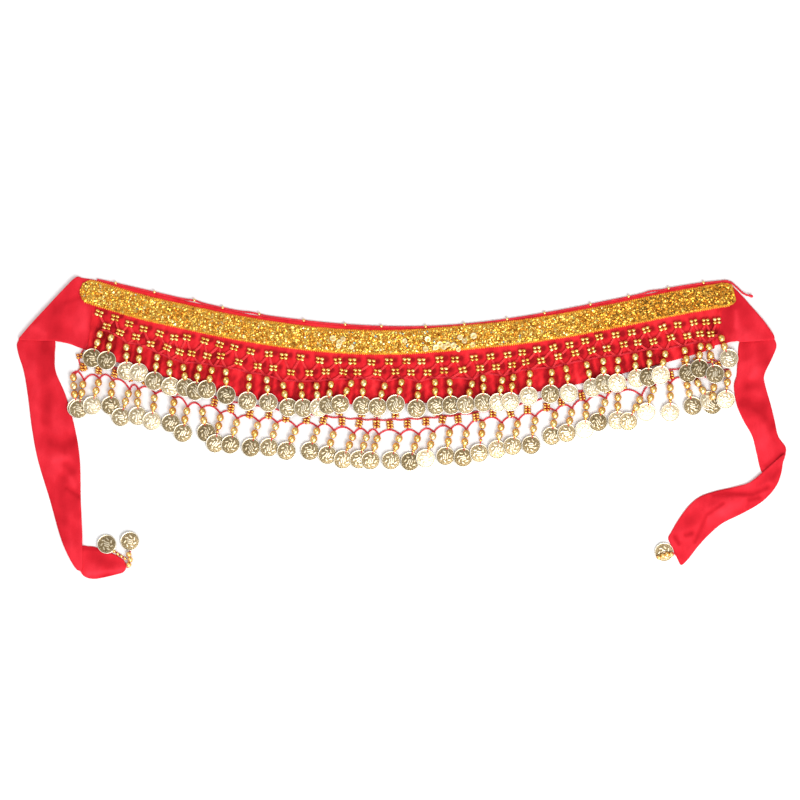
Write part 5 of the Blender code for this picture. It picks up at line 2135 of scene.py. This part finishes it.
@dataclass
class Tassel:
    """The beads and coins at a tie's end, on knotted thread."""

    name: str
    thread: tuple[tuple[Triple, ...], ...]
    beads: tuple[tuple[float, float, float, float], ...]
    coins: tuple[tuple[float, float, float, float, float], ...]
    seed: int
    coin: Coin = field(default_factory=Coin)
    path_step: float = 0.5

    def build(self) -> Pieces:
        """The thread, beads and coins of the tassel.

        Returns:
            The tassel's objects.
        """
        random = default_rng(self.seed)
        ways = [even_path(np.array(way), self.path_step) for way in self.thread]
        threads = [chain_stitch(way[None], ply=0.42, spread=0.3) for way in ways]
        places = np.array(self.beads)
        facing = unit(random.normal(0, 1, (len(places), 2)))
        beads = bead(14).repeated(places[:, :3], axes_of(facing), np.repeat(places[:, 3:], 3, 1))
        lying = np.array(self.coins)
        ahead = np.tile([0.0, -1.0], (len(lying), 1))
        coins = self.coin.patch().repeated(lying[:, :3], axes_of(ahead, lying[:, 3], lying[:, 4]))
        nodes = [self.name]
        return [
            make_piece(self.name + "_threads", threads, CROCHET, nodes),
            make_piece(self.name + "_beads", [beads], BEAD_GOLD, nodes),
            make_piece(self.name + "_coins", [coins], COIN_GOLD, nodes),
        ]


LEFT_TASSEL = Tassel(
    "left_tie_tassel",
    (
        ((-286.0, -147.0, 1.2), (-284.0, -141.0, 1.2), (-283.2, -129.0, 1.4)),
        ((-288.0, -137.5, 1.2), (-300.3, -128.7, 1.2), (-303.0, -126.0, 1.6)),
    ),
    (
        (-284.6, -143.4, 3.2, 2.9),
        (-283.0, -138.0, 3.2, 2.9),
        (-284.6, -132.6, 3.4, 2.9),
        (-288.6, -136.8, 2.1, 1.8),
        (-292.4, -134.6, 2.1, 1.8),
        (-296.2, -132.2, 2.1, 1.8),
        (-299.9, -129.4, 2.1, 1.8),
    ),
    ((-283.5, -118.7, 2.2, 0.10, 0.06), (-307.7, -121.8, 2.4, 0.08, -0.09)),
    51,
)
RIGHT_TASSEL = Tassel(
    "right_tie_tassel",
    (((290.5, -133.5, 1.2), (287.0, -131.5, 1.4), (284.0, -131.0, 2.2)),),
    (
        (284.6, -132.4, 4.7, 2.5),
        (280.2, -132.2, 4.7, 2.6),
        (275.6, -133.8, 4.6, 2.6),
        (271.4, -135.6, 4.4, 2.4),
    ),
    ((277.2, -130.2, 1.6, 0.05, 0.03),),
    52,
)
TASSELS = (LEFT_TASSEL, RIGHT_TASSEL)


class SubAssembly(Protocol):
    """A part of the scarf that can be built."""

    def build(self) -> Pieces:
        """Builds its objects."""


@dataclass
class Studio:
    """The white floor, the soft lights and the camera over the scarf."""

    view_width: float = 840.0
    view_middle: Pair = (-1.0, 29.3)
    camera_height: float = 3.2
    sensor: float = 36.0
    floor_size: float = 6.0
    world: float = 0.56
    key: tuple[Triple, float, float] = ((0.75, -1.15, 1.75), 1.3, 39.0)
    fill: tuple[Triple, float, float] = ((-1.3, 0.9, 1.6), 1.2, 10.0)
    low: tuple[Triple, float, float] = ((0.1, -1.9, 0.8), 1.2, 14.0)

    def floor(self) -> None:
        """The floor, which isn't part of the scarf."""
        bpy.ops.mesh.primitive_plane_add(size=self.floor_size, location=(0, 0, 0))
        floor = bpy.context.object
        floor.name = "floor"
        floor.data.materials.append(FLOOR_PAPER.material())

    def lamp(self, name: str, place: Triple, size: float, power: float) -> None:
        """A square soft light that faces the scarf.

        Args:
            name: The light's name.
            place: Where it is, in metres.
            size: The length of its side, in metres.
            power: Its power in watts.
        """
        light = bpy.data.lights.new(name, "AREA")
        light.shape, light.size, light.energy = "SQUARE", size, power
        obj = bpy.data.objects.new(name, light)
        obj.location = place
        away = -np.array(place)
        flat = math.hypot(away[0], away[1])
        obj.rotation_euler = (math.atan2(flat, -away[2]), 0, math.atan2(away[1], away[0]) - math.pi / 2)
        bpy.context.scene.collection.objects.link(obj)

    def build(self) -> None:
        """Sets up the floor, lights, surrounding light and camera."""
        scene = bpy.context.scene
        self.floor()
        self.lamp("key_light", *self.key)
        self.lamp("fill_light", *self.fill)
        self.lamp("low_light", *self.low)
        world = bpy.data.worlds.new("studio")
        world.use_nodes = True
        world.node_tree.nodes["Background"].inputs["Color"].default_value = (1, 1, 1, 1)
        world.node_tree.nodes["Background"].inputs["Strength"].default_value = self.world
        scene.world = world
        scene.view_settings.view_transform = "Standard"
        camera = bpy.data.cameras.new("overhead_camera")
        camera.sensor_width = self.sensor
        camera.lens = self.sensor * self.camera_height / (self.view_width * MM)
        obj = bpy.data.objects.new("overhead_camera", camera)
        obj.location = (self.view_middle[0] * MM, self.view_middle[1] * MM, self.camera_height)
        scene.collection.objects.link(obj)
        scene.camera = obj


def sub_assemblies() -> list[SubAssembly]:
    """Everything that the scarf is made of, in the order that it is built.

    Returns:
        The sub-assemblies.
    """
    plan = BeltPlan()
    upper = StrandRow(plan, "upper", UPPER_STRANDS, UPPER_BRIGHT, UPPER_DULL, arch=1.4, lower=False)
    lower = StrandRow(plan, "lower", LOWER_STRANDS, LOWER_BRIGHT, (), arch=5.2, lower=True)
    belt = [BeltCloth(plan), *TIES, SequinTrim(plan), TopEdging(plan)]
    return [*belt, BeadNet(plan), LowerNet(plan), upper, lower, *TASSELS]


def main() -> None:
    """Builds the studio and the scarf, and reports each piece."""
    logging.basicConfig(level=logging.INFO, format="%(name)s: %(message)s")
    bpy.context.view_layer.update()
    Studio().build()
    for part in sub_assemblies():
        for piece in part.build():
            log.info("%s: %d faces", piece.name, len(piece.data.polygons))


if __name__ == "__main__":
    main()
